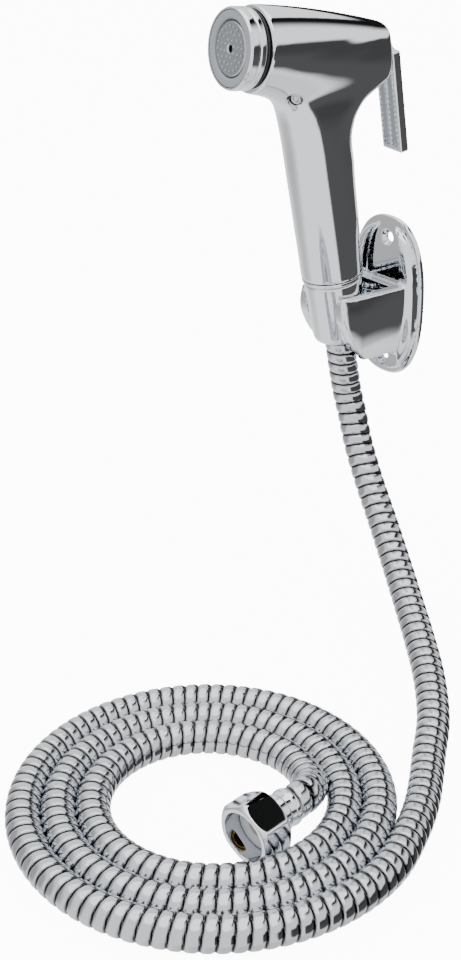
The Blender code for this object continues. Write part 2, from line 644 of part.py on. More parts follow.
def build_valve_housing(handset_axis, barrel_axis):
    """The valve's plastic housing, pressed into the barrel, with its side inlet."""
    rear = NECK_REAR
    outer = (
        (STEM_RADIUS + GAP, GLAND_FRONT), (GLAND_RADIUS, GLAND_FRONT), (GLAND_RADIUS, rear),
        (NECK_RADIUS, rear), (NECK_RADIUS, CHAMBER_REAR + GAP), (CHAMBER_RADIUS - RUN, CHAMBER_REAR + GAP),
        (CHAMBER_RADIUS - RUN, HOUSING_FRONT), (OUTLET_CHAMBER_RADIUS, HOUSING_FRONT),
        (OUTLET_CHAMBER_RADIUS, SEAT_PLANE), (SEAT_ORIFICE_RADIUS, SEAT_PLANE),
        (SEAT_ORIFICE_RADIUS, SEAT_WALL_REAR), (INLET_CHAMBER_RADIUS, SEAT_WALL_REAR),
        (INLET_CHAMBER_RADIUS, INLET_CHAMBER_REAR), (STEM_RADIUS + GAP, INLET_CHAMBER_REAR),
    )
    housing = turned("valve_housing", outer, WHITE_PLASTIC, barrel_axis)
    inlet = circle_points(CORE_TUBE_RADIUS - CORE_TUBE_WALL, 60 * MM) + circle_points(
        CORE_TUBE_RADIUS - CORE_TUBE_WALL, HANDLE_HEIGHT - 1.5 * MM
    )
    combine(housing, hull("housing_inlet_cut", inlet, None, handset_axis))


def build_valve(barrel_axis):
    """Stem, its rubber disc, O-ring and guide, the spring and the retainer in front of it."""
    disc_front = SEAT_PLANE + GAP + VALVE_DISC_THICK
    head_rear = disc_front + GAP
    head_front = head_rear + STEM_HEAD_THICK
    stem = (
        (0, STEM_REAR), (STEM_RADIUS - 0.5 * MM, STEM_REAR), (STEM_RADIUS, STEM_REAR + 0.6 * MM),
        (STEM_RADIUS, head_rear), (STEM_HEAD_RADIUS, head_rear), (STEM_HEAD_RADIUS, head_front),
        (STEM_SPIGOT, head_front), (STEM_SPIGOT, head_front + 2 * MM), (0, head_front + 2 * MM),
    )
    turned("valve_stem", stem, BRASS, barrel_axis, 28)
    disc = (
        (STEM_RADIUS + RUN, SEAT_PLANE + GAP), (VALVE_DISC_RADIUS, SEAT_PLANE + GAP), (VALVE_DISC_RADIUS, disc_front),
        (STEM_RADIUS + RUN, disc_front),
    )
    turned("valve_disc", disc, BLACK_RUBBER, barrel_axis, 28)
    ring_front = GLAND_FRONT - GAP
    ring = (
        (STEM_RADIUS + RUN, ring_front - O_RING_THICK), (GLAND_RADIUS - RUN, ring_front - O_RING_THICK),
        (GLAND_RADIUS - RUN, ring_front), (STEM_RADIUS + RUN, ring_front),
    )
    turned("stem_o_ring", ring, BLACK_RUBBER, barrel_axis, 24)
    guide_front = ring_front - O_RING_THICK - GAP
    guide = (
        (STEM_RADIUS + RUN, NECK_REAR + GAP), (GLAND_RADIUS - RUN, NECK_REAR + GAP),
        (GLAND_RADIUS - RUN, guide_front), (STEM_RADIUS + RUN, guide_front),
    )
    turned("stem_guide", guide, WHITE_PLASTIC, barrel_axis, 24)
    retainer_rear = HOUSING_FRONT - RETAINER_THICK
    retainer = (
        (STEM_SPIGOT + 1.2 * MM, retainer_rear), (OUTLET_CHAMBER_RADIUS - RUN, retainer_rear),
        (OUTLET_CHAMBER_RADIUS - RUN, HOUSING_FRONT - GAP / 2), (STEM_SPIGOT + 1.2 * MM, HOUSING_FRONT - GAP / 2),
    )
    turned("spring_retainer", retainer, WHITE_PLASTIC, barrel_axis, 28)
    build_spring(barrel_axis, head_front + GAP, retainer_rear - GAP)


def build_spring(barrel_axis, rear, front):
    """The valve's coil spring between the stem's head and the retainer."""
    rise_rear = rear + SPRING_WIRE_RADIUS
    rise_front = front - SPRING_WIRE_RADIUS
    per_turn = 12
    count = int(SPRING_TURNS * per_turn)
    curve = bpy.data.curves.new("valve_spring", "CURVE")
    curve.dimensions = "3D"
    curve.bevel_depth = SPRING_WIRE_RADIUS
    curve.bevel_resolution = 1
    curve.use_fill_caps = True
    spline = curve.splines.new("POLY")
    spline.points.add(count)
    for index in range(count + 1):
        angle = math.tau * index / per_turn
        height = rise_rear + (rise_front - rise_rear) * index / count
        place = (SPRING_RADIUS * math.cos(angle), SPRING_RADIUS * math.sin(angle), height, 1.0)
        spline.points[index].co = place
    add_object("valve_spring", curve, STEEL, barrel_axis)


def build_spray_head(barrel_axis):
    """Face seal, chromed collar, grey face ring and the perforated disc in it."""
    seal_rear = BARREL_FRONT + GAP
    seal_front = seal_rear + FACE_SEAL_THICK
    spigot = CHAMBER_RADIUS - RUN
    seal = (
        (spigot + RUN, seal_rear), (COLLAR_RADIUS - 0.6 * MM, seal_rear), (COLLAR_RADIUS - 0.6 * MM, seal_front),
        (spigot + RUN, seal_front),
    )
    turned("face_seal", seal, BLACK_RUBBER, barrel_axis)
    back = seal_front + GAP
    front = back + COLLAR_LENGTH
    seat = front - FACE_THICK - 0.6 * MM
    cup = COLLAR_RADIUS - COLLAR_RIM
    collar = (
        (COLLAR_BORE_RADIUS, back - COLLAR_SPIGOT_LENGTH), (spigot, back - COLLAR_SPIGOT_LENGTH), (spigot, back),
        (COLLAR_RADIUS - 0.6 * MM, back), (COLLAR_RADIUS, back + 0.8 * MM), (COLLAR_RADIUS, front - 0.8 * MM),
        (COLLAR_RADIUS - 0.6 * MM, front), (cup, front), (cup, seat), (COLLAR_BORE_RADIUS, seat),
    )
    turned("nozzle_collar", collar, CHROME, barrel_axis, FINE_SIDES)
    face_rear = seat + GAP
    face_front = face_rear + FACE_THICK
    rebate = face_front - DISC_THICK
    face = (
        (COLLAR_BORE_RADIUS, face_rear), (cup - RUN, face_rear), (cup - RUN, face_front - 0.4 * MM),
        (cup - RUN - 0.5 * MM, face_front), (DISC_RADIUS + 1.0 * MM, face_front),
        (DISC_RADIUS + 0.3 * MM, rebate), (COLLAR_BORE_RADIUS, rebate),
    )
    turned("spray_face", face, GREY_PLASTIC, barrel_axis, FINE_SIDES)
    disc_rear = rebate + GAP
    disc_edge = disc_rear + DISC_THICK - 1.1 * MM
    disc = (
        (0, disc_rear), (DISC_RADIUS, disc_rear), (DISC_RADIUS, disc_edge),
        (DISC_RADIUS * 0.85, disc_edge + 0.5 * DISC_DOME), (DISC_RADIUS * 0.5, disc_edge + 0.9 * DISC_DOME),
        (0, disc_edge + DISC_DOME),
    )
    plate = turned("spray_disc", disc, SATIN_CHROME, barrel_axis)
    add_jet_hole(plate, barrel_axis, "jet_centre_cut", 0.0, 0.0, disc_rear)
    for step in range(JET_COUNT):
        angle = math.tau * step / JET_COUNT
        x = JET_RING_RADIUS * math.cos(angle)
        y = JET_RING_RADIUS * math.sin(angle)
        add_jet_hole(plate, barrel_axis, f"jet_{step}_cut", x, y, disc_rear)
    return front


def add_jet_hole(plate, barrel_axis, name, x, y, rear):
    """Drill one spray hole through the disc."""
    points = circle_points(JET_HOLE_RADIUS, rear - MM, 10) + circle_points(JET_HOLE_RADIUS, rear + 5 * MM, 10)
    shift = Vector((x, y, 0))
    combine(plate, hull(name, [point + shift for point in points], None, barrel_axis))


def build_lever(handset_axis, barrel_axis):
    """The trigger: a channel-shaped plate with a middle rib and a tongue that works the stem."""
    pivot_y, pivot_z = barrel_point(PIVOT_BACK, PIVOT_UP)
    lever_axis = add_empty("lever_axis", (0, pivot_y, pivot_z), (0, 0, 0), handset_axis)
    outer = LEVER_OUT - pivot_y
    inner = outer - LEVER_DEPTH
    top = LEVER_TOP - pivot_z
    foot = top - LEVER_LENGTH
    wide = LEVER_HALF_WIDTH
    ease = 1.4 * MM
    plate_points = []
    for x, y in ((wide, inner), (wide, outer - ease), (wide - ease, outer)):
        for side in (-1, 1):
            plate_points.append((side * x, y, top - ease))
            plate_points.append((side * x, y, foot + ease))
    for side in (-1, 1):
        plate_points.append((side * (wide - ease), inner, top))
        plate_points.append((side * (wide - ease), outer - ease, top))
        plate_points.append((side * (wide - ease), inner, foot))
        plate_points.append((side * (wide - ease), outer - ease, foot))
    lever = hull("lever", plate_points, CHROME, lever_axis)
    for side in (-1, 1):
        near = side * LEVER_RIB_HALF_WIDTH
        far = side * (wide - LEVER_WALL)
        low = (min(near, far), inner - MM, foot + LEVER_WALL + 0.6 * MM)
        high = (max(near, far), outer - LEVER_FLOOR, top - 4.5 * MM)
        combine(lever, block(f"channel_{side}_cut", low, high, None, lever_axis))
    nose_y, nose_z = barrel_point(STEM_REAR - GAP, 0.0)
    low_y, low_z = barrel_point(STEM_REAR - GAP, -STEM_RADIUS - GAP)
    tongue = []
    for x in (-TONGUE_HALF_WIDTH, TONGUE_HALF_WIDTH):
        for step in range(16):
            angle = math.tau * step / 16
            boss_y = PIVOT_BOSS_RADIUS * math.cos(angle)
            boss_z = PIVOT_BOSS_RADIUS * math.sin(angle)
            if boss_z > -0.2 * MM or boss_y > 0:
                tongue.append((x, boss_y, boss_z))
        tongue.append((x, nose_y - pivot_y, nose_z - pivot_z))
        tongue.append((x, low_y - pivot_y, low_z - pivot_z))
        tongue.append((x, inner + 0.8 * MM, top - 3.5 * MM))
        tongue.append((x, inner + 2.5 * MM, top - 0.4 * MM))
        tongue.append((x, inner + 0.8 * MM, top - 4.2 * MM))
    combine(lever, hull("tongue_form", tongue, None, lever_axis), "UNION")
    bore_axis = add_empty("lever_bore_axis", (0, 0, 0), (0, math.pi / 2, 0), lever_axis)
    bore = (
        (0, -TONGUE_HALF_WIDTH - MM), (PIN_RADIUS + RUN, -TONGUE_HALF_WIDTH - MM),
        (PIN_RADIUS + RUN, TONGUE_HALF_WIDTH + MM), (0, TONGUE_HALF_WIDTH + MM),
    )
    combine(lever, turned("lever_bore_cut", bore, None, bore_axis, 16))
    pin_axis = add_empty("lever_pin_axis", (0, pivot_y, pivot_z), (0, math.pi / 2, 0), handset_axis)
    pin = (
        (0, -PIN_HALF_LENGTH), (PIN_RADIUS, -PIN_HALF_LENGTH), (PIN_RADIUS, PIN_HALF_LENGTH), (0, PIN_HALF_LENGTH),
    )
    turned("lever_pin", pin, STEEL, pin_axis, 16)


def smooth_route(points, step):
    """Points a step apart on the smooth curve through a route's own points."""
    points = [np.array(point, dtype=float) for point in points]
    padded = [2 * points[0] - points[1], *points, 2 * points[-1] - points[-2]]
    fine = []
    for before, start, end, after in zip(padded, padded[1:], padded[2:], padded[3:]):
        for share in np.linspace(0, 1, 12, endpoint=False):
            tangent_in = (end - before) / 2
            tangent_out = (after - start) / 2
            s2 = share * share
            s3 = s2 * share
            fine.append(
                (2 * s3 - 3 * s2 + 1) * start + (s3 - 2 * s2 + share) * tangent_in
                + (3 * s2 - 2 * s3) * end + (s3 - s2) * tangent_out
            )
    fine.append(points[-1])
    fine = np.array(fine)
    along = np.concatenate([[0.0], np.cumsum(np.linalg.norm(np.diff(fine, axis=0), axis=1))])
    count = max(2, int(round(along[-1] / step)))
    stations = np.linspace(0, along[-1], count + 1)
    return [tuple(np.interp(stations, along, fine[:, axis])[k] for axis in range(3)) for k in range(count + 1)]


def build_hose_run(name, route, first=None, last=None):
    """One plain length of hose along a route, with a straight piece to its first or last point."""
    points = smooth_route(route, HOSE_STEP * 2 * HOSE_RADIUS)
    points = [point for point in (first, *points, last) if point]
    curve = bpy.data.curves.new(name, "CURVE")
    curve.dimensions = "3D"
    curve.bevel_depth = HOSE_RADIUS
    curve.bevel_resolution = HOSE_SIDES_RESOLUTION
    curve.use_fill_caps = True
    spline = curve.splines.new("POLY")
    spline.points.add(len(points) - 1)
    for slot, point in zip(spline.points, points):
        slot.co = (*point, 1.0)
    return add_object(name, curve, CHROME)


def build_hose(seat, hose_top):
    """The hose: the drop from the handset, the coil on the floor, and the tail to the end nut."""
    top, below = (tuple(in_world(seat, (0, 0, hose_top - down))) for down in (0, LEAD_IN))
    build_hose_run("hose_drop", [below, *DROP_ROUTE], first=top)
    inner = COIL_INNER_RADIUS
    outer = COIL_OUTER_RADIUS
    top = 2 * HOSE_RADIUS
    ring = (
        (inner, COIL_CORNER), (inner + COIL_CORNER, 0), (outer - COIL_CORNER, 0), (outer, COIL_CORNER),
        (outer, top - COIL_CORNER), (outer - COIL_CORNER, top), (inner + COIL_CORNER, top), (inner, top - COIL_CORNER),
    )
    coil_axis = add_empty("coil_axis", (*COIL_CENTRE, FLOOR_Z), (0, 0, 0))
    turned("hose_coil", ring, CHROME, coil_axis, FINE_SIDES)
    heading = Vector(END_HEADING).normalized()
    before_end = tuple(Vector(TAIL_END) - heading * LEAD_IN)
    build_hose_run("hose_tail", [*TAIL_ROUTE, before_end], last=TAIL_END)


def hex_points(across_flats, height):
    """Corners of a level hexagon round Z with a flat facing -X."""
    corner = across_flats / math.sqrt(3)
    return [
        Vector((corner * math.sin(math.tau * k / 6), corner * math.cos(math.tau * k / 6), height))
        for k in range(6)
    ]


def build_end_fitting():
    """Sleeve, flanged insert, hexagon nut and washer on the hose's far end."""
    heading = Vector(END_HEADING).normalized()
    turn = heading.to_track_quat("Z", "X").to_euler()
    end_axis = add_empty("hose_end_axis", TAIL_END, turn)
    sleeve_rear = GAP
    sleeve_front = sleeve_rear + END_SLEEVE_LENGTH
    sleeve = (
        (END_STEM_RADIUS, sleeve_rear), (HOSE_RADIUS + 0.3 * MM, sleeve_rear),
        (HOSE_RADIUS + 0.5 * MM, sleeve_rear + MM), (HOSE_RADIUS + 0.5 * MM, sleeve_front - MM),
        (HOSE_RADIUS, sleeve_front), (END_STEM_RADIUS, sleeve_front),
    )
    turned("end_sleeve", sleeve, CHROME, end_axis)
    nut_rear = sleeve_front + GAP
    shelf = nut_rear + END_NUT_LIP
    flange_rear = shelf + GAP
    flange_front = flange_rear + END_FLANGE_THICK
    insert = (
        (TAIL_BORE_RADIUS, sleeve_rear + 2 * MM), (END_STEM_RADIUS - RUN, sleeve_rear + 2 * MM),
        (END_STEM_RADIUS - RUN, flange_rear), (END_NUT_BORE_RADIUS - 3 * RUN, flange_rear),
        (END_NUT_BORE_RADIUS - 3 * RUN, flange_front), (TAIL_BORE_RADIUS, flange_front),
    )
    turned("end_insert", insert, BRASS, end_axis)
    nut = lofted(
        "end_nut",
        [
            hex_points(END_NUT_ACROSS_FLATS - 1.6 * MM, nut_rear),
            hex_points(END_NUT_ACROSS_FLATS, nut_rear + 1.0 * MM),
            hex_points(END_NUT_ACROSS_FLATS, nut_rear + END_NUT_LENGTH - 1.0 * MM),
            hex_points(END_NUT_ACROSS_FLATS - 1.6 * MM, nut_rear + END_NUT_LENGTH),
        ],
        CHROME,
        end_axis,
    )
    bore = (
        (0, nut_rear - MM), (END_STEM_RADIUS + GAP, nut_rear - MM), (END_STEM_RADIUS + GAP, shelf),
        (END_NUT_BORE_RADIUS, shelf), (END_NUT_BORE_RADIUS, nut_rear + END_NUT_LENGTH + MM),
        (0, nut_rear + END_NUT_LENGTH + MM),
    )
    combine(nut, turned("end_nut_bore_cut", bore, None, end_axis))
    washer_rear = flange_front + GAP
    washer = (
        (WATERWAY_RADIUS + 0.6 * MM, washer_rear), (END_NUT_BORE_RADIUS - 2 * RUN, washer_rear),
        (END_NUT_BORE_RADIUS - 2 * RUN, washer_rear + WASHER_THICK),
        (WATERWAY_RADIUS + 0.6 * MM, washer_rear + WASHER_THICK),
    )
    turned("end_washer", washer, GREY_RUBBER, end_axis)


def main():
    """Build the whole sprayer."""
    clear_scene()
    seat_place = (0, -SEAT_OUT, SEAT_UP)
    seat_axis = add_empty("seat_axis", seat_place, (LEAN, 0, 0))
    handset_axis = add_empty("handset_axis", (0, 0, 0), (0, 0, PARKED_TURN), seat_axis)
    barrel_axis = add_empty(
        "barrel_axis", (0, 0, HANDLE_HEIGHT), (math.pi / 2 - BARREL_TILT, 0, 0), handset_axis
    )
    seat = Matrix.Translation(seat_place) @ Matrix.Rotation(LEAN, 4, "X")
    build_bracket(seat)
    screw_axis = build_handset_body(handset_axis, barrel_axis)
    build_screw(screw_axis)
    build_inlet(handset_axis)
    nut_foot = build_conical_nut(handset_axis)
    hose_top = build_hose_top(handset_axis, nut_foot)
    build_valve_housing(handset_axis, barrel_axis)
    build_valve(barrel_axis)
    build_spray_head(barrel_axis)
    build_lever(handset_axis, barrel_axis)
    build_hose(seat, hose_top)
    build_end_fitting()
    bpy.context.view_layer.update()


main()
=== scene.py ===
"""Visual model of a handheld bath sprayer: chromed handset, wall bracket and coiled metal hose.

Every form is built in millimetres in the frame of the part it belongs to, and is turned into
a mesh in metres in the shared frame. Distance fields shape the cast pieces, turned outlines
the lathe-made ones, and Geometry Nodes the hose's rings and the spray nozzles.
"""

import json
import logging
import math
from collections.abc import Callable, Sequence
from dataclasses import dataclass, field
from enum import Enum

import bmesh
import bpy
import numpy as np
from mathutils import Matrix, Vector


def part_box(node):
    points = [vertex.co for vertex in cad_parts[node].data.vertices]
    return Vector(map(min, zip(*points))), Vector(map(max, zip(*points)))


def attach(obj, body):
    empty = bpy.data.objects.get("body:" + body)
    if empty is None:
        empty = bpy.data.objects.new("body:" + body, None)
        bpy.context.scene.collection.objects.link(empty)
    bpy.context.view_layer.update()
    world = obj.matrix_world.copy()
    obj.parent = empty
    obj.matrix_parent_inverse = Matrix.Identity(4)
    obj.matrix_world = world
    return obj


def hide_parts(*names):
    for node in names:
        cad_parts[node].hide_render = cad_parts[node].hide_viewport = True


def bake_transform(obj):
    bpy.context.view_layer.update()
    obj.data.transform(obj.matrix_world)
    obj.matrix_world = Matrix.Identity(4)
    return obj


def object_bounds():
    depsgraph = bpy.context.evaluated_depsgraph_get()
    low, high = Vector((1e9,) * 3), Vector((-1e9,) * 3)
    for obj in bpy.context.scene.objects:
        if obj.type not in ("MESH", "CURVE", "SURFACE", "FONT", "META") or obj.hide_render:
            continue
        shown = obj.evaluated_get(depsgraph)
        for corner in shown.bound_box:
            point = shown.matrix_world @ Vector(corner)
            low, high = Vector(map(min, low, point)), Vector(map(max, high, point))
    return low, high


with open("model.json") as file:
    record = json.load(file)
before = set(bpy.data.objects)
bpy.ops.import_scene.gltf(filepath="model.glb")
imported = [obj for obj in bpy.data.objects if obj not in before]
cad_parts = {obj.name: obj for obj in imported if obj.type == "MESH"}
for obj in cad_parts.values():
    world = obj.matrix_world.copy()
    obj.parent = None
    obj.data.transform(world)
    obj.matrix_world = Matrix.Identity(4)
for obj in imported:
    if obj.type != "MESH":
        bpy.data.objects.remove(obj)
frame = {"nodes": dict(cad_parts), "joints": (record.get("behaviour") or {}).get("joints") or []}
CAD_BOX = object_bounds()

LOG = logging.getLogger("bath_sprayer")
MM = 0.001

Array = np.ndarray
Point = tuple[float, float, float]
Field = Callable[[Array, Array, Array], Array]
Outline = Sequence[tuple[float, float]]


class Side(Enum):
    """Which way a screw pocket opens from its level edge."""

    UP = 1
    DOWN = -1


class Fixing(Enum):
    """What a piece is fixed to, by the name of the body it moves with."""

    WALL = "bracket"
    HOSE_TOP = "hose_end"
    HANDSET = "handset"
    TRIGGER = "lever"
    END_NUT = "end_nut"


# ---------------------------------------------------------------- places


@dataclass(frozen=True)
class Place:
    """A part's own frame: its origin in metres and its three axes in the shared frame."""

    origin: Point
    x_axis: Point
    z_axis: Point

    @property
    def matrix(self) -> Matrix:
        """The frame as a 4 by 4 matrix that takes metres to metres."""
        z = Vector(self.z_axis).normalized()
        x = (Vector(self.x_axis) - z * Vector(self.x_axis).dot(z)).normalized()
        y = z.cross(x)
        turn = Matrix((x, y, z)).transposed().to_4x4()
        return Matrix.Translation(self.origin) @ turn

    def local(self, x: Array, y: Array, z: Array) -> tuple[Array, Array, Array]:
        """Turn shared coordinates in millimetres into this frame's millimetres.

        Args:
            x: Shared x values.
            y: Shared y values.
            z: Shared z values.

        Returns:
            The three local coordinate arrays.
        """
        turn = np.array(self.matrix.to_3x3())
        dx, dy, dz = (value - shift / MM for value, shift in zip((x, y, z), self.origin))
        return tuple(turn[0, k] * dx + turn[1, k] * dy + turn[2, k] * dz for k in range(3))

    def point(self, x: float, y: float, z: float) -> Point:
        """A local point in millimetres as a shared point in metres."""
        return tuple(self.matrix @ Vector((x * MM, y * MM, z * MM)))


def joint(name: str) -> dict:
    """The frame's joint of that name."""
    return next(item for item in frame["joints"] if item["name"] == name)


SWIVEL = joint("handset_swivel")
SEAT = Place(tuple(SWIVEL["pos_m"]), (1, 0, 0), tuple(SWIVEL["axis"]))
CROSSWISE = tuple(-share for share in joint("lever_pivot")["axis"])
HANDSET = Place(SEAT.origin, CROSSWISE, SEAT.z_axis)
HANDLE_HEIGHT = 103.3
BARREL = Place(HANDSET.point(0, 0, HANDLE_HEIGHT), CROSSWISE, tuple(joint("valve_stem_push")["axis"]))
HOSE_END = Place(tuple(joint("end_nut_spin")["pos_m"]), (1, 0, 0), tuple(joint("end_nut_spin")["axis"]))
GROUND_Z = CAD_BOX[0][2]


# ---------------------------------------------------------------- distance fields


def smooth_max(a: Array, b: Array, radius: float) -> Array:
    """Intersection of two fields whose shared edge is rounded by a radius."""
    h = np.clip(0.5 - 0.5 * (b - a) / radius, 0, 1)
    return b + (a - b) * h + radius * h * (1 - h)


def smooth_min(a: Array, b: Array, radius: float) -> Array:
    """Union of two fields with a fillet of a radius in the corner between them."""
    return -smooth_max(-a, -b, radius)


def carve(body: Array, tool: Array, radius: float) -> Array:
    """The body with a tool's form taken out of it, its new edges rounded by a radius."""
    return smooth_max(body, -tool, radius)


def rounded_section(u: Array, v: Array, half_u: Array, half_v: Array, power: Array) -> Array:
    """Approximate distance to a superellipse.

    Args:
        u: Coordinates along the first half size.
        v: Coordinates along the second half size.
        half_u: First half size.
        half_v: Second half size.
        power: 2 for an ellipse, more for a squarer outline.

    Returns:
        Values below 0 inside the outline.
    """
    norm = ((np.abs(u) / half_u) ** power + (np.abs(v) / half_v) ** power) ** (1 / power)
    return (norm - 1) * np.minimum(half_u, half_v)


def box_field(point: Sequence[Array], low: Point, high: Point, radius: float = 0.0) -> Array:
    """Distance to a box between two corners, with edges rounded by a radius."""
    outside = []
    for value, small, large in zip(point, low, high):
        middle = (small + large) / 2
        outside.append(np.abs(value - middle) - (large - small) / 2 + radius)
    beyond = np.sqrt(sum(np.maximum(part, 0) ** 2 for part in outside))
    return beyond + np.minimum(np.maximum(np.maximum(outside[0], outside[1]), outside[2]), 0) - radius


def blended(at: Array, stations: Sequence[float], values: Sequence[float]) -> Array:
    """Read a smooth curve through a table of values.

    Args:
        at: Where to read the curve.
        stations: Rising positions of the table's entries.
        values: The entries.

    Returns:
        The smooth curve's values, held level past both ends.
    """
    xs = np.asarray(stations, float)
    ys = np.asarray(values, float)
    slope = np.gradient(ys, xs)
    slope[0] = slope[-1] = 0.0
    at = np.clip(at, xs[0], xs[-1])
    k = np.clip(np.searchsorted(xs, at, side="right") - 1, 0, len(xs) - 2)
    width = xs[k + 1] - xs[k]
    t = (at - xs[k]) / width
    t2 = t * t
    t3 = t2 * t
    return (
        (2 * t3 - 3 * t2 + 1) * ys[k] + (t3 - 2 * t2 + t) * width * slope[k]
        + (3 * t2 - 2 * t3) * ys[k + 1] + (t3 - t2) * width * slope[k + 1]
    )


@dataclass(frozen=True)
class FieldMesher:
    """Turns a distance field in shared millimetres into a closed quad mesh."""

    step: float
    settle_rounds: int = 5

    def build(self, name: str, shape: Field, low: Sequence[float], high: Sequence[float]) -> bpy.types.Object:
        """Mesh the field's surface inside a box.

        Args:
            name: The new object's name.
            shape: The field, below 0 inside the solid.
            low: Lowest corner of the box, in millimetres.
            high: Highest corner of the box, in millimetres.

        Returns:
            The new object, in metres.
        """
        axes = [np.arange(a - 2 * self.step, b + 3 * self.step, self.step) for a, b in zip(low, high)]
        grid = np.meshgrid(*axes, indexing="ij")
        values = shape(*grid)
        values[values == 0] = 1e-9
        verts, quads = self._net(values, axes)
        for _ in range(self.settle_rounds):
            verts = self._settle(verts, shape)
        data = bpy.data.meshes.new(name)
        data.from_pydata((verts * MM).tolist(), [], quads.tolist())
        made = link(name, data)
        tidy_mesh(made)
        return made

    def _net(self, values: Array, axes: list[Array]) -> tuple[Array, Array]:
        """One point in each cell that the surface crosses, joined by quads."""
        count = tuple(size - 1 for size in values.shape)
        total = np.zeros((*count, 3))
        hits = np.zeros(count)
        for axis in range(3):
            others = [k for k in range(3) if k != axis]
            for first in (0, 1):
                for second in (0, 1):
                    low = [slice(0, size) for size in count]
                    low[others[0]] = slice(first, first + count[others[0]])
                    low[others[1]] = slice(second, second + count[others[1]])
                    high = list(low)
                    high[axis] = slice(1, count[axis] + 1)
                    a = values[tuple(low)]
                    b = values[tuple(high)]
                    crossing = (a < 0) != (b < 0)
                    share = np.where(crossing, a / np.where(crossing, a - b, 1.0), 0.0)
                    total[..., axis] += np.where(crossing, share, 0.0)
                    total[..., others[0]] += np.where(crossing, first, 0.0)
                    total[..., others[1]] += np.where(crossing, second, 0.0)
                    hits += crossing
        active = hits > 0
        cells = np.argwhere(active)
        number = -np.ones(count, int)
        number[active] = np.arange(len(cells))
        base = np.stack([axes[k][cells[:, k]] for k in range(3)], axis=1)
        verts = base + self.step * total[active] / hits[active][:, None]
        quads = []
        for axis in range(3):
            one, two = [k for k in range(3) if k != axis]
            low = [slice(1, size) for size in count]
            low[axis] = slice(0, count[axis])
            high = list(low)
            high[axis] = slice(1, count[axis] + 1)
            a = values[tuple(low)]
            b = values[tuple(high)]
            crossing = (a < 0) != (b < 0)
            where = np.argwhere(crossing)
            shift = np.array([1, 1, 1])
            shift[axis] = 0
            corner = where + shift
            ring = []
            for first, second in ((0, 0), (1, 0), (1, 1), (0, 1)):
                cell = corner.copy()
                cell[:, one] -= first
                cell[:, two] -= second
                ring.append(number[cell[:, 0], cell[:, 1], cell[:, 2]])
            quad = np.stack(ring, axis=1)
            flip = (a[crossing] < 0) == (axis == 1)
            quad[flip] = quad[flip][:, ::-1]
            quads.append(quad)
        return verts, np.concatenate(quads)

    def _settle(self, verts: Array, shape: Field) -> Array:
        """Move the points onto the field's surface along its slope."""
        tiny = 0.02
        x, y, z = verts.T
        value = shape(x, y, z)
        slope = np.stack([
            shape(x + tiny, y, z) - shape(x - tiny, y, z),
            shape(x, y + tiny, z) - shape(x, y - tiny, z),
            shape(x, y, z + tiny) - shape(x, y, z - tiny),
        ], axis=1) / (2 * tiny)
        size = np.maximum((slope ** 2).sum(axis=1), 0.05)
        move = np.clip((value / size)[:, None] * slope, -0.3 * self.step, 0.3 * self.step)
        return verts - move


# ---------------------------------------------------------------- meshes


def link(name: str, data: bpy.types.ID) -> bpy.types.Object:
    """Add an object to the scene at the origin."""
    made = bpy.data.objects.new(name, data)
    bpy.context.scene.collection.objects.link(made)
    return made


def tidy_mesh(piece: bpy.types.Object, sharp_degrees: float = 40.0) -> None:
    """Merge doubles, turn the faces outward and shade the piece smooth up to an angle."""
    work = bmesh.new()
    work.from_mesh(piece.data)
    bmesh.ops.remove_doubles(work, verts=work.verts, dist=1e-6)
    bmesh.ops.recalc_face_normals(work, faces=work.faces)
    work.to_mesh(piece.data)
    work.free()
    piece.data.shade_smooth()
    piece.data.set_sharp_from_angle(angle=math.radians(sharp_degrees))


def turned(name: str, place: Place, outline: Outline, sides: int = 96) -> bpy.types.Object:
    """Turn a closed outline round a place's Z axis, as on a lathe.

    Args:
        name: The new object's name.
        place: The frame whose Z axis is the lathe's axis.
        outline: (radius, height) corners in millimetres; a radius of 0 closes on the axis.
        sides: Facets round the piece.

    Returns:
        The new object.
    """
    work = bmesh.new()
    rings = []
    for radius, height in outline:
        if radius == 0:
            rings.append([work.verts.new(place.point(0, 0, height))] * sides)
            continue
        ring = []
        for k in range(sides):
            angle = math.tau * k / sides
            spot = place.point(radius * math.cos(angle), radius * math.sin(angle), height)
            ring.append(work.verts.new(spot))
        rings.append(ring)
    for index, ring in enumerate(rings):
        other = rings[(index + 1) % len(rings)]
        for k in range(sides):
            after = (k + 1) % sides
            corners = list(dict.fromkeys((ring[k], ring[after], other[after], other[k])))
            if len(corners) > 2:
                work.faces.new(corners)
    data = bpy.data.meshes.new(name)
    work.to_mesh(data)
    work.free()
    made = link(name, data)
    tidy_mesh(made, 28.0)
    return made


def eased(outline: Outline, radius: float, steps: int = 3) -> Outline:
    """Round every corner of a closed outline that is off the axis.

    Args:
        outline: (radius, height) corners.
        radius: How far from each corner the rounding starts.
        steps: Points in each rounding, less one.

    Returns:
        The new outline.
    """
    made = []
    count = len(outline)
    for index, corner in enumerate(outline):
        here = Vector(corner)
        before = Vector(outline[index - 1]) - here
        after = Vector(outline[(index + 1) % count]) - here
        reach = min(radius, 0.45 * before.length, 0.45 * after.length)
        if corner[0] == 0 or reach < 0.02:
            made.append(corner)
            continue
        start = here + before.normalized() * reach
        end = here + after.normalized() * reach
        for k in range(steps + 1):
            t = k / steps
            made.append(tuple((1 - t) ** 2 * start + 2 * t * (1 - t) * here + t * t * end))
    return made


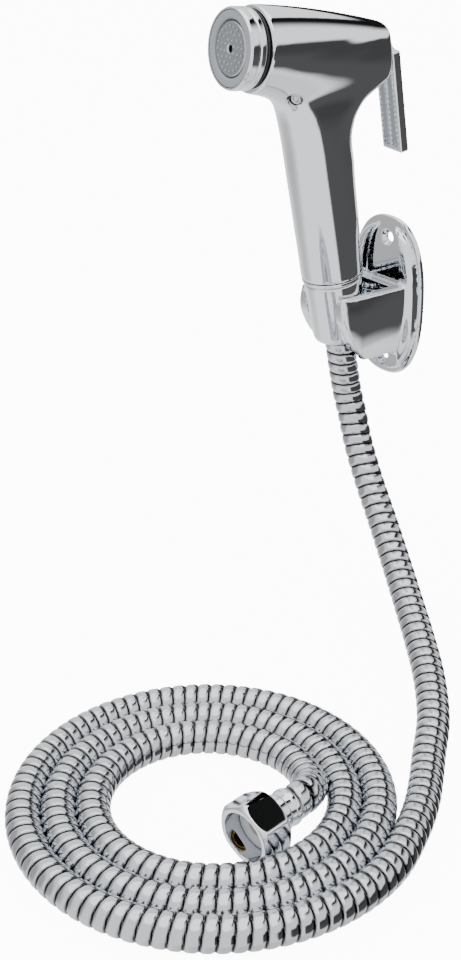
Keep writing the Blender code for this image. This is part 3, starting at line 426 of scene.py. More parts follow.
def smooth_route(points: Sequence[Point], spacing: float) -> Array:
    """Evenly spaced points on the smooth curve through a route's points.

    Args:
        points: The route's points.
        spacing: Distance between the new points, in the route's unit.

    Returns:
        An array of points, the route's two ends among them.
    """
    knots = np.asarray(points, float)
    padded = np.vstack([2 * knots[0] - knots[1], knots, 2 * knots[-1] - knots[-2]])
    fine = []
    for k in range(1, len(padded) - 2):
        t = np.linspace(0, 1, 16, endpoint=False)[:, None]
        before, start, end, after = padded[k - 1:k + 3]
        pairs = ((before, start), (start, end), (end, after))
        first, middle, last = (max(np.linalg.norm(b - a) ** 0.5, 1e-6) for a, b in pairs)
        across = (end - start) / middle
        slope_in = middle * ((start - before) / first - (end - before) / (first + middle) + across)
        slope_out = middle * (across - (after - start) / (middle + last) + (after - end) / last)
        t2 = t * t
        t3 = t2 * t
        fine.append(
            (2 * t3 - 3 * t2 + 1) * start + (t3 - 2 * t2 + t) * slope_in
            + (3 * t2 - 2 * t3) * end + (t3 - t2) * slope_out
        )
    fine.append(knots[-1:])
    line = np.vstack(fine)
    along = np.concatenate([[0.0], np.cumsum(np.linalg.norm(np.diff(line, axis=0), axis=1))])
    stations = np.linspace(0, along[-1], max(2, round(along[-1] / spacing)) + 1)
    return np.stack([np.interp(stations, along, line[:, k]) for k in range(3)], axis=1)


def length_of(points: Array) -> float:
    """Length along a line of points."""
    return float(np.linalg.norm(np.diff(points, axis=0), axis=1).sum())


# ---------------------------------------------------------------- node trees


def linear(hex_colour: str) -> tuple[float, float, float, float]:
    """An sRGB hex colour as linear RGBA."""
    parts = [int(hex_colour[k:k + 2], 16) / 255 for k in (1, 3, 5)]
    return (*(c / 12.92 if c <= 0.04045 else ((c + 0.055) / 1.055) ** 2.4 for c in parts), 1.0)


def add_node(tree: bpy.types.NodeTree, kind: str, links: dict | None = None, **settings) -> bpy.types.Node:
    """Add a node with its settings, its input values and its links.

    Args:
        tree: The node tree.
        kind: The node's type name.
        links: Input name or number to a value or to an output socket.
        **settings: Properties of the node.

    Returns:
        The new node.
    """
    made = tree.nodes.new(kind)
    for name, value in settings.items():
        setattr(made, name, value)
    for name, value in (links or {}).items():
        socket = made.inputs[name]
        if isinstance(value, bpy.types.NodeSocket):
            tree.links.new(value, socket)
        else:
            socket.default_value = value
    return made


@dataclass(frozen=True)
class Finish:
    """A surface finish: the record's slot it stands for, and how light meets it."""

    name: str
    slot: str
    colour: str
    metallic: float
    roughness: float
    grain_mm: float = 0.0
    grain_height_mm: float = 0.0
    smudge: float = 0.0
    smudge_mm: float = 25.0
    ior: float = 1.5
    # Near-black colour painted into a piece's grooves as painted shade.
    groove_shade_colour: str = ""

    def material(self) -> bpy.types.Material:
        """The finish's node material, made once."""
        found = bpy.data.materials.get(self.name)
        if found:
            return found
        made = bpy.data.materials.new(self.name)
        made.use_nodes = True
        tree = made.node_tree
        shader = tree.nodes["Principled BSDF"]
        shader.inputs["Base Color"].default_value = linear(self.colour)
        shader.inputs["Metallic"].default_value = self.metallic
        shader.inputs["Roughness"].default_value = self.roughness
        if self.metallic < 0.5:
            shader.inputs["IOR"].default_value = self.ior
        place = add_node(tree, "ShaderNodeTexCoord")
        if self.smudge:
            self._smudges(tree, place, shader)
        if self.grain_mm:
            self._grain(tree, place, shader)
        if self.groove_shade_colour:
            self._paint_groove_shade(tree, shader)
        made.diffuse_color = linear(self.colour)
        return made

    def _smudges(self, tree: bpy.types.NodeTree, place: bpy.types.Node, shader: bpy.types.Node) -> None:
        """Let the roughness wander over the surface, as handling and polishing leave it."""
        cloud = add_node(tree, "ShaderNodeTexNoise", {
            "Vector": place.outputs["Object"], "Scale": 1000 / self.smudge_mm, "Detail": 3.0,
        })
        spread = add_node(tree, "ShaderNodeMapRange", {
            "Value": cloud.outputs["Fac"], "From Min": 0.35, "From Max": 0.7,
            "To Min": self.roughness, "To Max": self.roughness + self.smudge,
        })
        tree.links.new(spread.outputs["Result"], shader.inputs["Roughness"])

    def _grain(self, tree: bpy.types.NodeTree, place: bpy.types.Node, shader: bpy.types.Node) -> None:
        """Give the surface a fine cast or moulded grain."""
        cloud = add_node(tree, "ShaderNodeTexNoise", {
            "Vector": place.outputs["Object"], "Scale": 1000 / self.grain_mm, "Detail": 2.0,
        })
        bump = add_node(tree, "ShaderNodeBump", {
            "Height": cloud.outputs["Fac"], "Distance": self.grain_height_mm * MM, "Strength": 1.0,
        })
        tree.links.new(bump.outputs["Normal"], shader.inputs["Normal"])

    def _paint_groove_shade(self, tree: bpy.types.NodeTree, shader: bpy.types.Node) -> None:
        """Paint shade into the grooves: darken the base colour where the piece's own groove value is high."""
        groove = add_node(tree, "ShaderNodeAttribute", attribute_name="groove")
        ramp = add_node(tree, "ShaderNodeValToRGB", {"Fac": groove.outputs["Fac"]})
        ramp.color_ramp.elements[0].position = 0.2
        ramp.color_ramp.elements[0].color = linear(self.colour)
        ramp.color_ramp.elements[1].position = 0.62
        ramp.color_ramp.elements[1].color = linear(self.groove_shade_colour)
        tree.links.new(ramp.outputs["Color"], shader.inputs["Base Color"])


# Bright decorative chrome plate on a polished casting: a clear mirror, faintly blue.
POLISHED_CHROME = Finish(
    "polished_chrome_plate", "chrome", "#E2E5E9", 1.0, 0.035, smudge=0.03, smudge_mm=18.0,
)
# Plated steel strip rolled into the hose's rings: bright crowns, and a near-black base colour painted into the
# grooves between the rings as painted shade.
HOSE_STRIP = Finish(
    "rolled_chromed_strip", "hose_steel", "#C6C9CE", 1.0, 0.10, smudge=0.05, smudge_mm=9.0,
    groove_shade_colour="#0B0C0E",
)
# Nickel under a satin plate, blasted before plating: soft, granular glints.
SATIN_CHROME = Finish(
    "satin_nickel_chrome", "satin_chrome", "#B4B8BD", 1.0, 0.27, grain_mm=1.1, grain_height_mm=0.16,
)
# Moulded acrylonitrile plastic with a fine spark-eroded texture: dull and even.
GREY_PLASTIC = Finish(
    "moulded_grey_plastic", "grey_plastic", "#8A8E93", 0.0, 0.42, grain_mm=0.8, grain_height_mm=0.03,
    ior=1.53,
)
# Moulded acetal: waxy and slightly see-through, so a smooth off-white.
WHITE_ACETAL = Finish(
    "moulded_white_acetal", "white_acetal", "#E9E9E4", 0.0, 0.34, grain_mm=2.0, grain_height_mm=0.02,
    ior=1.48,
)
# Moulded nitrile rubber: near black, with a dry bloom.
BLACK_RUBBER = Finish(
    "moulded_nitrile_rubber", "black_rubber", "#1B1B1C", 0.0, 0.62, grain_mm=0.7, grain_height_mm=0.03,
    ior=1.52,
)
# Pressed silicone rubber: pale grey, soft sheen.
GREY_RUBBER = Finish(
    "pressed_silicone_rubber", "grey_rubber", "#B9BCBF", 0.0, 0.5, grain_mm=0.9, grain_height_mm=0.03,
    ior=1.43,
)
# Free-cutting brass, turned on a lathe: warm, with tool marks too fine to see.
TURNED_BRASS = Finish("turned_brass", "brass", "#D3B26A", 1.0, 0.2, smudge=0.08, smudge_mm=6.0)
# Cold-drawn stainless wire and rod: grey and slightly dull.
DRAWN_STEEL = Finish(
    "drawn_stainless_steel", "stainless_steel", "#C3C4C6", 1.0, 0.22, smudge=0.06, smudge_mm=5.0,
)


def dress(piece: bpy.types.Object, finish: Finish) -> bpy.types.Object:
    """Give a piece one finish all over."""
    piece.data.materials.clear()
    piece.data.materials.append(finish.material())
    return piece


def place_piece(piece: bpy.types.Object, finish: Finish, fixing: Fixing, *nodes: str) -> bpy.types.Object:
    """Dress a piece, fix it to its body and let it stand for its CAD nodes.

    Args:
        piece: The finished mesh.
        finish: Its finish.
        fixing: The body it moves with.
        *nodes: The CAD nodes it replaces.

    Returns:
        The piece.
    """
    dress(piece, finish)
    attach(piece, fixing.value)
    if nodes:
        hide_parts(*nodes)
    LOG.info("%s: %d faces on %s", piece.name, len(piece.data.polygons), fixing.value)
    return piece


def plain_mesh_of(source: bpy.types.Object, name: str) -> bpy.types.Object:
    """Turn an object's evaluated form into a plain mesh and remove the object."""
    bpy.context.view_layer.update()
    evaluated = source.evaluated_get(bpy.context.evaluated_depsgraph_get())
    data = bpy.data.meshes.new_from_object(evaluated)
    data.name = name
    source_data = source.data
    bpy.data.objects.remove(source, do_unlink=True)
    if isinstance(source_data, bpy.types.Curve):
        bpy.data.curves.remove(source_data)
    return link(name, data)


def new_node_group(
    name: str, inputs: Sequence[tuple[str, str, float]],
) -> tuple[bpy.types.NodeTree, dict[str, str]]:
    """Start a Geometry Nodes tree with a geometry input, an output and named sizes.

    Args:
        name: The tree's name.
        inputs: (name, socket type, value) of each size.

    Returns:
        The tree, and each size's socket identifier by name.
    """
    tree = bpy.data.node_groups.new(name, "GeometryNodeTree")
    tree.interface.new_socket("Geometry", in_out="INPUT", socket_type="NodeSocketGeometry")
    tree.interface.new_socket("Geometry", in_out="OUTPUT", socket_type="NodeSocketGeometry")
    found = {}
    for label, kind, value in inputs:
        socket = tree.interface.new_socket(label, in_out="INPUT", socket_type=kind)
        socket.default_value = value
        found[label] = socket.identifier
    return tree, found


def calculate(
    tree: bpy.types.NodeTree, operation: str, *values: bpy.types.NodeSocket | float,
) -> bpy.types.NodeSocket:
    """Add a maths node on some values and return its result."""
    return add_node(tree, "ShaderNodeMath", dict(enumerate(values)), operation=operation).outputs[0]


def apply_nodes(piece: bpy.types.Object, tree: bpy.types.NodeTree, values: dict[str, float]) -> None:
    """Hang a tree on an object and set its inputs by their identifiers."""
    step = piece.modifiers.new(tree.name, "NODES")
    step.node_group = tree
    for identifier, value in values.items():
        step[identifier] = value


# ---------------------------------------------------------------- hose


@dataclass
class Hose:
    """The flexible metal hose, from the conical nut to the sleeve of its end nut."""

    radius: float = 7.0
    ring_pitch: float = 5.4
    groove_depth: float = 0.95
    stations_per_ring: int = 9
    groove_sharpness: float = 4.0
    sides: int = 32
    top_below_foot: float = 29.3
    straight: float = 7.0
    coil_centre: tuple[float, float] = (114.3, -193.5)
    coil_start_radius: float = 78.9
    coil_pitch: float = 13.5
    coil_start_degrees: float = 35.6
    coil_turns: float = 2.766
    coil_height: float = -133.0
    drop: tuple[Point, ...] = (
        (1.5, -26.2, -40.0), (5.0, -25.8, -50.0), (11.5, -26.8, -64.0), (22.5, -29.7, -77.5),
        (37.5, -34.5, -90.5), (55.0, -41.8, -102.0), (73.7, -51.0, -111.5), (94.5, -62.8, -118.5),
        (115.0, -76.3, -123.5), (133.5, -91.7, -128.0), (147.0, -107.1, -131.3),
        (157.5, -118.7, -132.6), (168.0, -131.5, -133.0),
    )
    tail: tuple[Point, ...] = (
        (103.8, -153.2, -133.0), (114.6, -152.0, -133.0), (125.0, -154.2, -132.4), (133.6, -158.6, -130.4),
    )
    points: Array = field(init=False)

    def __post_init__(self) -> None:
        """Work out the hose's centreline."""
        top = [np.array(HANDSET.point(0, 0, -self.top_below_foot - down)) / MM for down in (0.0, self.straight)]
        heading = np.array(HOSE_END.z_axis) / np.linalg.norm(HOSE_END.z_axis)
        end = np.array(HOSE_END.origin) / MM
        route = [*top, *self.drop, *self._coil(), *self.tail, tuple(end - heading * self.straight), tuple(end)]
        self.points = smooth_route(route, 2.0)

    def _coil(self) -> list[Point]:
        """Points of the flat coil, from the outside in."""
        per_turn = 24
        made = []
        for k in range(int(per_turn * self.coil_turns) + 1):
            turn = k / per_turn
            angle = math.radians(self.coil_start_degrees) - math.tau * turn
            radius = self.coil_start_radius - self.coil_pitch * turn
            made.append((
                self.coil_centre[0] + radius * math.cos(angle),
                self.coil_centre[1] + radius * math.sin(angle),
                self.coil_height,
            ))
        return made

    def _tree(self) -> tuple[bpy.types.NodeTree, dict[str, str]]:
        """Nodes that roll the ringed tube along the centreline."""
        tree, names = new_node_group("hose_rings", (
            ("Tube Radius", "NodeSocketFloat", self.radius * MM),
            ("Ring Pitch", "NodeSocketFloat", self.ring_pitch * MM),
            ("Groove Depth", "NodeSocketFloat", self.groove_depth * MM),
            ("Station Spacing", "NodeSocketFloat", self.ring_pitch * MM / self.stations_per_ring),
        ))
        given = add_node(tree, "NodeGroupInput")
        even = add_node(tree, "GeometryNodeResampleCurve", {
            "Curve": given.outputs["Geometry"], "Length": given.outputs["Station Spacing"],
        }, mode="LENGTH")
        along = add_node(tree, "GeometryNodeSplineParameter")
        centre = add_node(tree, "GeometryNodeInputPosition")
        kept = add_node(tree, "GeometryNodeCaptureAttribute", {"Geometry": even.outputs["Curve"]})
        kept.capture_items.new("FLOAT", "Length")
        kept.capture_items.new("VECTOR", "Centre")
        tree.links.new(along.outputs["Length"], kept.inputs["Length"])
        tree.links.new(centre.outputs["Position"], kept.inputs["Centre"])
        circle = add_node(tree, "GeometryNodeCurvePrimitiveCircle", {
            "Resolution": self.sides, "Radius": given.outputs["Tube Radius"],
        })
        round_it = add_node(tree, "GeometryNodeCaptureAttribute", {"Geometry": circle.outputs["Curve"]})
        round_it.capture_items.new("FLOAT", "Round")
        share = add_node(tree, "GeometryNodeSplineParameter")
        tree.links.new(share.outputs["Factor"], round_it.inputs["Round"])
        tube = add_node(tree, "GeometryNodeCurveToMesh", {
            "Curve": kept.outputs["Geometry"], "Profile Curve": round_it.outputs["Geometry"], "Fill Caps": True,
        })
        turns = calculate(tree, "DIVIDE", kept.outputs["Length"], given.outputs["Ring Pitch"])
        helix = calculate(tree, "ADD", turns, round_it.outputs["Round"])
        phase = calculate(tree, "MULTIPLY_ADD", calculate(tree, "FRACT", helix), 2.0, -1.0)
        groove = calculate(tree, "POWER", calculate(tree, "ABSOLUTE", phase), self.groove_sharpness)
        deep = calculate(tree, "MULTIPLY", groove, given.outputs["Groove Depth"])
        inward = calculate(tree, "MULTIPLY", deep, -1.0)
        here = add_node(tree, "GeometryNodeInputPosition")
        out = add_node(tree, "ShaderNodeVectorMath", {
            0: here.outputs["Position"], 1: kept.outputs["Centre"],
        }, operation="SUBTRACT")
        unit = add_node(tree, "ShaderNodeVectorMath", {0: out.outputs["Vector"]}, operation="NORMALIZE")
        push = add_node(tree, "ShaderNodeVectorMath", {
            0: unit.outputs["Vector"], "Scale": inward,
        }, operation="SCALE")
        shaped = add_node(tree, "GeometryNodeSetPosition", {
            "Geometry": tube.outputs["Mesh"], "Offset": push.outputs["Vector"],
        })
        # Each point's groove value goes to the material, which paints shade into the grooves with it.
        marked = add_node(tree, "GeometryNodeStoreNamedAttribute", {
            "Geometry": shaped.outputs["Geometry"], "Name": "groove", "Value": groove,
        }, data_type="FLOAT", domain="POINT")
        real = add_node(tree, "GeometryNodeRealizeInstances", {"Geometry": marked.outputs["Geometry"]})
        done = add_node(tree, "GeometryNodeSetMaterial", {
            "Geometry": real.outputs["Geometry"], "Material": HOSE_STRIP.material(),
        })
        add_node(tree, "NodeGroupOutput", {"Geometry": done.outputs["Geometry"]})
        return tree, names

    def build(self) -> bpy.types.Object:
        """Roll the hose and return it as a plain mesh."""
        curve = bpy.data.curves.new("hose_line", "CURVE")
        curve.dimensions = "3D"
        spline = curve.splines.new("POLY")
        spline.points.add(len(self.points) - 1)
        for slot, point in zip(spline.points, self.points):
            slot.co = (*(point * MM), 1.0)
        holder = link("hose_line", curve)
        tree, names = self._tree()
        apply_nodes(holder, tree, {
            names["Tube Radius"]: self.radius * MM,
            names["Ring Pitch"]: self.ring_pitch * MM,
            names["Groove Depth"]: self.groove_depth * MM,
            names["Station Spacing"]: self.ring_pitch * MM / self.stations_per_ring,
        })
        hose = plain_mesh_of(holder, "metal_hose")
        tidy_mesh(hose, 75.0)
        return hose

    def finish(self, hose: bpy.types.Object, pieces: Sequence[bpy.types.Object]) -> None:
        """Args:
            hose: The hose's mesh.
            pieces: What is on its far end; not used.
        """
        dress(hose, HOSE_STRIP)
        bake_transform(hose)
        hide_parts("hose_drop", "hose_coil", "hose_tail")
        LOG.info("hose: %.3f m long, %d faces", length_of(self.points) * MM, len(hose.data.polygons))


# ---------------------------------------------------------------- hose ends


@dataclass
class HoseEnd:
    """Sleeve, hexagon nut, washer and insert on the hose's far end."""

    sleeve_length: float = 11.0
    nut_across_flats: float = 24.0
    nut_length: float = 14.0
    nut_bore: float = 9.9
    nut_lip: float = 2.5
    stem_hole: float = 5.9
    gap: float = 0.3

    def _nut_field(self, x: Array, y: Array, z: Array) -> Array:
        """Hexagon with soft corners, chamfered at both ends and bored."""
        u, v, w = HOSE_END.local(x, y, z)
        rear = self.sleeve_length + 2 * self.gap
        front = rear + self.nut_length
        half = self.nut_across_flats / 2
        hexagon = u * 0 - 1e3
        for k in range(3):
            angle = math.pi * k / 3
            hexagon = smooth_max(hexagon, np.abs(u * math.cos(angle) + v * math.sin(angle)) - half, 0.9)
        across = np.sqrt(u * u + v * v)
        body = smooth_max(hexagon, np.maximum(rear - w, w - front), 0.5)
        cone_front = (across + 0.9 * (w - front) - half - 0.1) / 1.35
        cone_rear = (across + 0.9 * (rear - w) - half - 0.1) / 1.35
        body = smooth_max(smooth_max(body, cone_front, 0.5), cone_rear, 0.5)
        body = carve(body, np.maximum(across - self.nut_bore, rear + self.nut_lip - w), 0.35)
        return carve(body, across - self.stem_hole, 0.3)

    def build(self) -> list[bpy.types.Object]:
        """Build the pieces on the hose's end.

        Returns:
            The pieces that go with the hose, CAD pieces among them.
        """
        low, high = (np.array(corner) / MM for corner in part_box("end_nut"))
        nut = FieldMesher(0.42).build("hexagon_nut", self._nut_field, low, high)
        place_piece(nut, POLISHED_CHROME, Fixing.END_NUT, "end_nut")
        top = self.gap + self.sleeve_length
        outline = [
            (5.6, self.gap), (7.1, self.gap), (7.7, 1.4), (7.7, 3.0), (7.35, 3.5), (7.35, 6.0), (7.7, 6.5),
            (7.7, top - 1.6), (7.1, top), (5.6, top),
        ]
        sleeve = turned("crimped_sleeve", HOSE_END, eased(outline, 0.4))
        place_piece(sleeve, POLISHED_CHROME, Fixing.WALL, "end_sleeve")
        flange = top + self.gap + self.nut_lip + self.gap + 1.5 + self.gap
        ring = [(4.6, flange), (9.6, flange), (9.6, flange + 2.0), (4.6, flange + 2.0)]
        washer = turned("end_washer_ring", HOSE_END, eased(ring, 0.45))
        place_piece(washer, GREY_RUBBER, Fixing.WALL, "end_washer")
        return [nut, sleeve, washer, frame["nodes"]["end_insert"]]


@dataclass
class ConicalNut:
    """The nearly straight conical nut and the inlet bush with the flange above it."""

    top_radius: float = 13.1
    foot_radius: float = 12.0
    length: float = 29.6
    flange: float = 2.1
    gap: float = 0.3

    def build(self) -> None:
        """Build the nut and the inlet bush with its flange."""
        top = -2 * self.gap - self.flange
        foot = top - self.length
        shell = [
            (10.0, top), (self.top_radius - 0.3, top),
            (self.top_radius, top - 0.7), (self.top_radius, top - 1.2),
            (self.foot_radius, foot + 3.2), (self.foot_radius - 0.5, foot + 1.1),
            (self.foot_radius - 1.7, foot),
            (7.35, foot), (7.35, foot + 9.2), (10.0, foot + 10.8),
        ]
        nut = turned("conical_hose_nut", HANDSET, eased(shell, 0.6, 4), 128)
        place_piece(nut, POLISHED_CHROME, Fixing.HANDSET, "conical_nut")
        base = -self.gap - self.flange
        bush = [
            (4.0, base - 10.5), (9.85, base - 10.5), (9.85, base), (13.2, base), (14.0, base + 0.7),
            (14.0, -self.gap), (9.65, -self.gap), (9.65, 14.0), (6.75, 14.0), (6.75, 4.0), (4.0, 4.0),
        ]
        flange = turned("flanged_inlet_bush", HANDSET, eased(bush, 0.35), 128)
        place_piece(flange, POLISHED_CHROME, Fixing.HANDSET, "inlet_bush")


# ---------------------------------------------------------------- handset


@dataclass
class HandsetBody:
    """The one-piece cast and plated body: tapered barrel, handle and the web between them."""

    tilt_degrees: float = 16.0
    barrel_front: float = 29.0
    barrel_rear: float = 38.6
    front_radius: float = 17.8
    rear_half_width: float = 10.5
    rear_half_height: float = 11.5
    # Sections of the handle: height, front edge, rear edge, half width, roundness.
    handle_sections: tuple[tuple[float, ...], ...] = (
        (0.0, -14.1, 14.1, 14.1, 2.0), (24.0, -14.5, 14.5, 14.3, 2.05), (50.0, -15.0, 14.9, 14.5, 2.15),
        (67.0, -15.4, 16.3, 14.5, 2.25), (73.0, -15.8, 19.6, 14.3, 2.4), (77.5, -16.2, 24.6, 13.9, 2.6),
        (81.5, -16.9, 31.4, 13.2, 2.8), (86.5, -18.1, 33.1, 12.3, 2.8), (93.5, -20.6, 30.4, 11.9, 2.6),
        (100.0, -23.1, 22.9, 11.5, 2.4),
    )
    handle_top: float = 97.6
    fillet: float = 9.0
    chamber_radius: float = 12.6
    chamber_rear: float = -11.0
    neck_radius: float = 9.15
    neck_rear: float = -25.8
    stem_hole_radius: float = 2.9
    bore_radius: float = 9.8
    bore_top: float = 87.3
    slot_low: float = -8.0
    slot_high: float = 10.2
    slot_front: float = -30.2
    slot_half_width: float = 3.7

    def _to_barrel(self, y: Array, z: Array) -> tuple[Array, Array]:
        """Barrel coordinates (along, up) of the handset's own (y, z)."""
        cosine = math.cos(math.radians(self.tilt_degrees))
        sine = math.sin(math.radians(self.tilt_degrees))
        lift = z - HANDLE_HEIGHT
        return -y * cosine + lift * sine, y * sine + lift * cosine

    def _barrel(self, x: Array, along: Array, up: Array) -> Array:
        """Field of the tapered barrel."""
        share = np.clip((along + self.barrel_rear) / (self.barrel_front + self.barrel_rear), 0.0, 1.0)
        swell = np.sin(share * math.pi / 2) ** 0.9
        half_x = self.rear_half_width + (self.front_radius - self.rear_half_width) * swell
        half_y = self.rear_half_height + (self.front_radius - self.rear_half_height) * swell
        side = rounded_section(x, up, half_x, half_y, 2.7 - 0.7 * share)
        body = smooth_max(side, -along - self.barrel_rear, 4.5)
        return smooth_max(body, along - self.barrel_front, 1.6)

    def _handle(self, x: Array, y: Array, z: Array) -> Array:
        """Field of the handle, from its foot up into the barrel, with the web behind it."""
        heights, *columns = zip(*self.handle_sections)
        front, rear, half_x, power = (blended(z, heights, column) for column in columns)
        middle = (front + rear) / 2
        section = rounded_section(x, y - middle, half_x, (rear - front) / 2, power)
        section = smooth_max(section, z - self.handle_top, 5.0)
        return smooth_max(section, -z, 0.8)

    def _field(self, x: Array, y: Array, z: Array) -> Array:
        """Field of the whole body with its bores, slot and screw hole."""
        u, v, w = HANDSET.local(x, y, z)
        along, up = self._to_barrel(v, w)
        body = smooth_min(self._barrel(u, along, up), self._handle(u, v, w), self.fillet)
        body = smooth_max(body, along - self.barrel_front, 1.2)
        across = np.sqrt(u * u + up * up)
        body = carve(body, np.maximum(across - self.chamber_radius, self.chamber_rear - along), 0.5)
        body = carve(body, np.maximum(across - self.neck_radius, self.neck_rear - along), 0.5)
        far_away = 50.0
        body = carve(body, across - self.stem_hole_radius + far_away * (along > 0), 0.4)
        handle_bore = np.maximum(np.sqrt(u * u + v * v) - self.bore_radius, w - self.bore_top)
        body = carve(body, handle_bore, 0.5)
        low = (-self.slot_half_width, self.slot_low, -far_away)
        high = (self.slot_half_width, self.slot_high, self.slot_front)
        slot = box_field((u, up, along), low, high)
        body = carve(body, slot, 0.7)
        su, sv, sw = RetainingScrew().place.local(x, y, z)
        screw_across = np.sqrt(su * su + sv * sv)
        body = carve(body, np.maximum(screw_across - 2.75, -1.9 - sw), 0.5)
        return carve(body, np.maximum(screw_across - 1.4, -8.0 - sw), 0.3)

    def build(self) -> None:
        """Build the body over the CAD body's box."""
        low, high = (np.array(corner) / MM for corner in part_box("handset_body"))
        body = FieldMesher(0.8).build("cast_handset_body", self._field, low - 2, high + 2)
        place_piece(body, POLISHED_CHROME, Fixing.HANDSET, "handset_body")


@dataclass
class RetainingScrew:
    """The domed screw in the throat, which holds the valve's housing."""

    height: float = 87.6
    round_degrees: float = 33.0
    reach: float = 16.7
    head_radius: float = 2.4

    @property
    def place(self) -> Place:
        """The screw's frame: its Z axis points out of the throat."""
        turn = math.radians(self.round_degrees)
        outward = Vector((math.sin(turn), -math.cos(turn), 0))
        axis = HANDSET.matrix.to_3x3() @ outward
        origin = HANDSET.point(outward.x * self.reach, outward.y * self.reach, self.height)
        return Place(origin, tuple(HANDSET.matrix.to_3x3() @ Vector((0, 0, 1))), tuple(axis))

    def build(self) -> None:
        """Build the screw with a raised rim and a sunk middle."""
        radius = self.head_radius
        outline = [
            (0, -4.2), (1.2, -4.2), (1.2, -1.6), (radius, -1.6), (radius, -0.3), (radius - 0.5, 0.1),
            (radius - 1.0, -0.1), (radius - 1.3, -0.6), (0, -0.6),
        ]
        screw = turned("throat_screw", self.place, eased(outline, 0.25), 48)
        place_piece(screw, DRAWN_STEEL, Fixing.HANDSET, "retaining_screw")


@dataclass
class SprayHead:
    """Seal, chromed collar, grey face ring and the granular disc with its nozzles."""

    collar_radius: float = 16.9
    collar_length: float = 8.2
    rear: float = 30.6
    disc_radius: float = 11.4
    nozzle_radius: float = 0.62
    nozzle_height: float = 0.55
    nozzle_rings: tuple[tuple[float, int], ...] = ((3.6, 8), (6.4, 14), (9.0, 20))

    @property
    def front(self) -> float:
        """Where the collar's front edge stands, along the barrel."""
        return self.rear + self.collar_length

    def _nozzle_tree(self) -> tuple[bpy.types.NodeTree, dict[str, str]]:
        """Nodes that set a small domed nozzle on each point, facing along the barrel."""
        tree, names = new_node_group("spray_nozzles", (
            ("Nozzle Radius", "NodeSocketFloat", self.nozzle_radius * MM),
            ("Nozzle Height", "NodeSocketFloat", self.nozzle_height * MM),
        ))
        given = add_node(tree, "NodeGroupInput")
        cone = add_node(tree, "GeometryNodeMeshCone", {
            "Vertices": 10, "Side Segments": 2, "Radius Bottom": given.outputs["Nozzle Radius"],
            "Radius Top": 0.3 * MM, "Depth": given.outputs["Nozzle Height"],
        })
        facing = BARREL.matrix.to_euler()
        spots = add_node(tree, "GeometryNodeInstanceOnPoints", {
            "Points": given.outputs["Geometry"], "Instance": cone.outputs["Mesh"], "Rotation": tuple(facing),
        })
        real = add_node(tree, "GeometryNodeRealizeInstances", {"Geometry": spots.outputs["Instances"]})
        done = add_node(tree, "GeometryNodeSetMaterial", {
            "Geometry": real.outputs["Geometry"], "Material": GREY_PLASTIC.material(),
        })
        add_node(tree, "NodeGroupOutput", {"Geometry": done.outputs["Geometry"]})
        return tree, names

    def _nozzles(self, surface: float) -> None:
        """Scatter the nozzles in rings on the disc, as one mesh."""
        spots = []
        for radius, count in self.nozzle_rings:
            for k in range(count):
                angle = math.tau * (k + 0.5) / count
                height = surface - 0.35 * (radius / self.disc_radius) ** 2
                spots.append(BARREL.point(radius * math.cos(angle), radius * math.sin(angle), height))
        data = bpy.data.meshes.new("nozzle_spots")
        data.from_pydata(spots, [], [])
        holder = link("nozzle_spots", data)
        tree, names = self._nozzle_tree()
        apply_nodes(holder, tree, {
            names["Nozzle Radius"]: self.nozzle_radius * MM, names["Nozzle Height"]: self.nozzle_height * MM,
        })
        nozzles = plain_mesh_of(holder, "spray_nozzle_tips")
        tidy_mesh(nozzles)
        place_piece(nozzles, GREY_PLASTIC, Fixing.HANDSET)

    def build(self) -> None:
        """Build the head's turned pieces and its nozzles."""
        rear, front, radius = self.rear, self.front, self.collar_radius
        cup = radius - 1.2
        seat = front - 3.6
        collar = [
            (10.0, rear - 9.0), (12.45, rear - 9.0), (12.45, rear),
            (radius - 0.7, rear), (radius, rear + 0.9), (radius, rear + 2.9),
            (radius - 0.45, rear + 3.3), (radius - 0.45, rear + 3.8), (radius, rear + 4.2),
            (radius, front - 1.1), (radius - 0.6, front), (cup, front), (cup, seat), (10.0, seat),
        ]
        ring = turned("nozzle_collar_ring", BARREL, eased(collar, 0.4), 128)
        place_piece(ring, POLISHED_CHROME, Fixing.HANDSET, "nozzle_collar")
        face_rear = seat + 0.3
        face_front = face_rear + 3.0
        face = [
            (10.0, face_rear), (cup - 0.15, face_rear),
            (cup - 0.15, face_front - 0.3), (cup - 0.6, face_front),
            (self.disc_radius + 1.1, face_front), (self.disc_radius + 0.4, face_front - 0.7),
            (self.disc_radius + 0.4, face_front - 2.2), (10.0, face_front - 2.2),
        ]
        annulus = turned("grey_face_ring", BARREL, eased(face, 0.3), 128)
        place_piece(annulus, GREY_PLASTIC, Fixing.HANDSET, "spray_face")
        disc_rear = face_front - 1.9
        top = disc_rear + 1.9
        disc = [
            (1.5, disc_rear), (self.disc_radius - 0.1, disc_rear), (self.disc_radius - 0.1, top - 1.0),
            (self.disc_radius - 0.6, top - 0.45), (self.disc_radius * 0.8, top - 0.3),
            (self.disc_radius * 0.45, top - 0.06),
            (2.3, top), (1.5, top - 0.5),
        ]
        plate = turned("granular_spray_disc", BARREL, eased(disc, 0.3), 96)
        place_piece(plate, SATIN_CHROME, Fixing.HANDSET, "spray_disc")
        self._nozzles(top)
        LOG.info("spray head: front edge %.1f mm along the barrel", front)


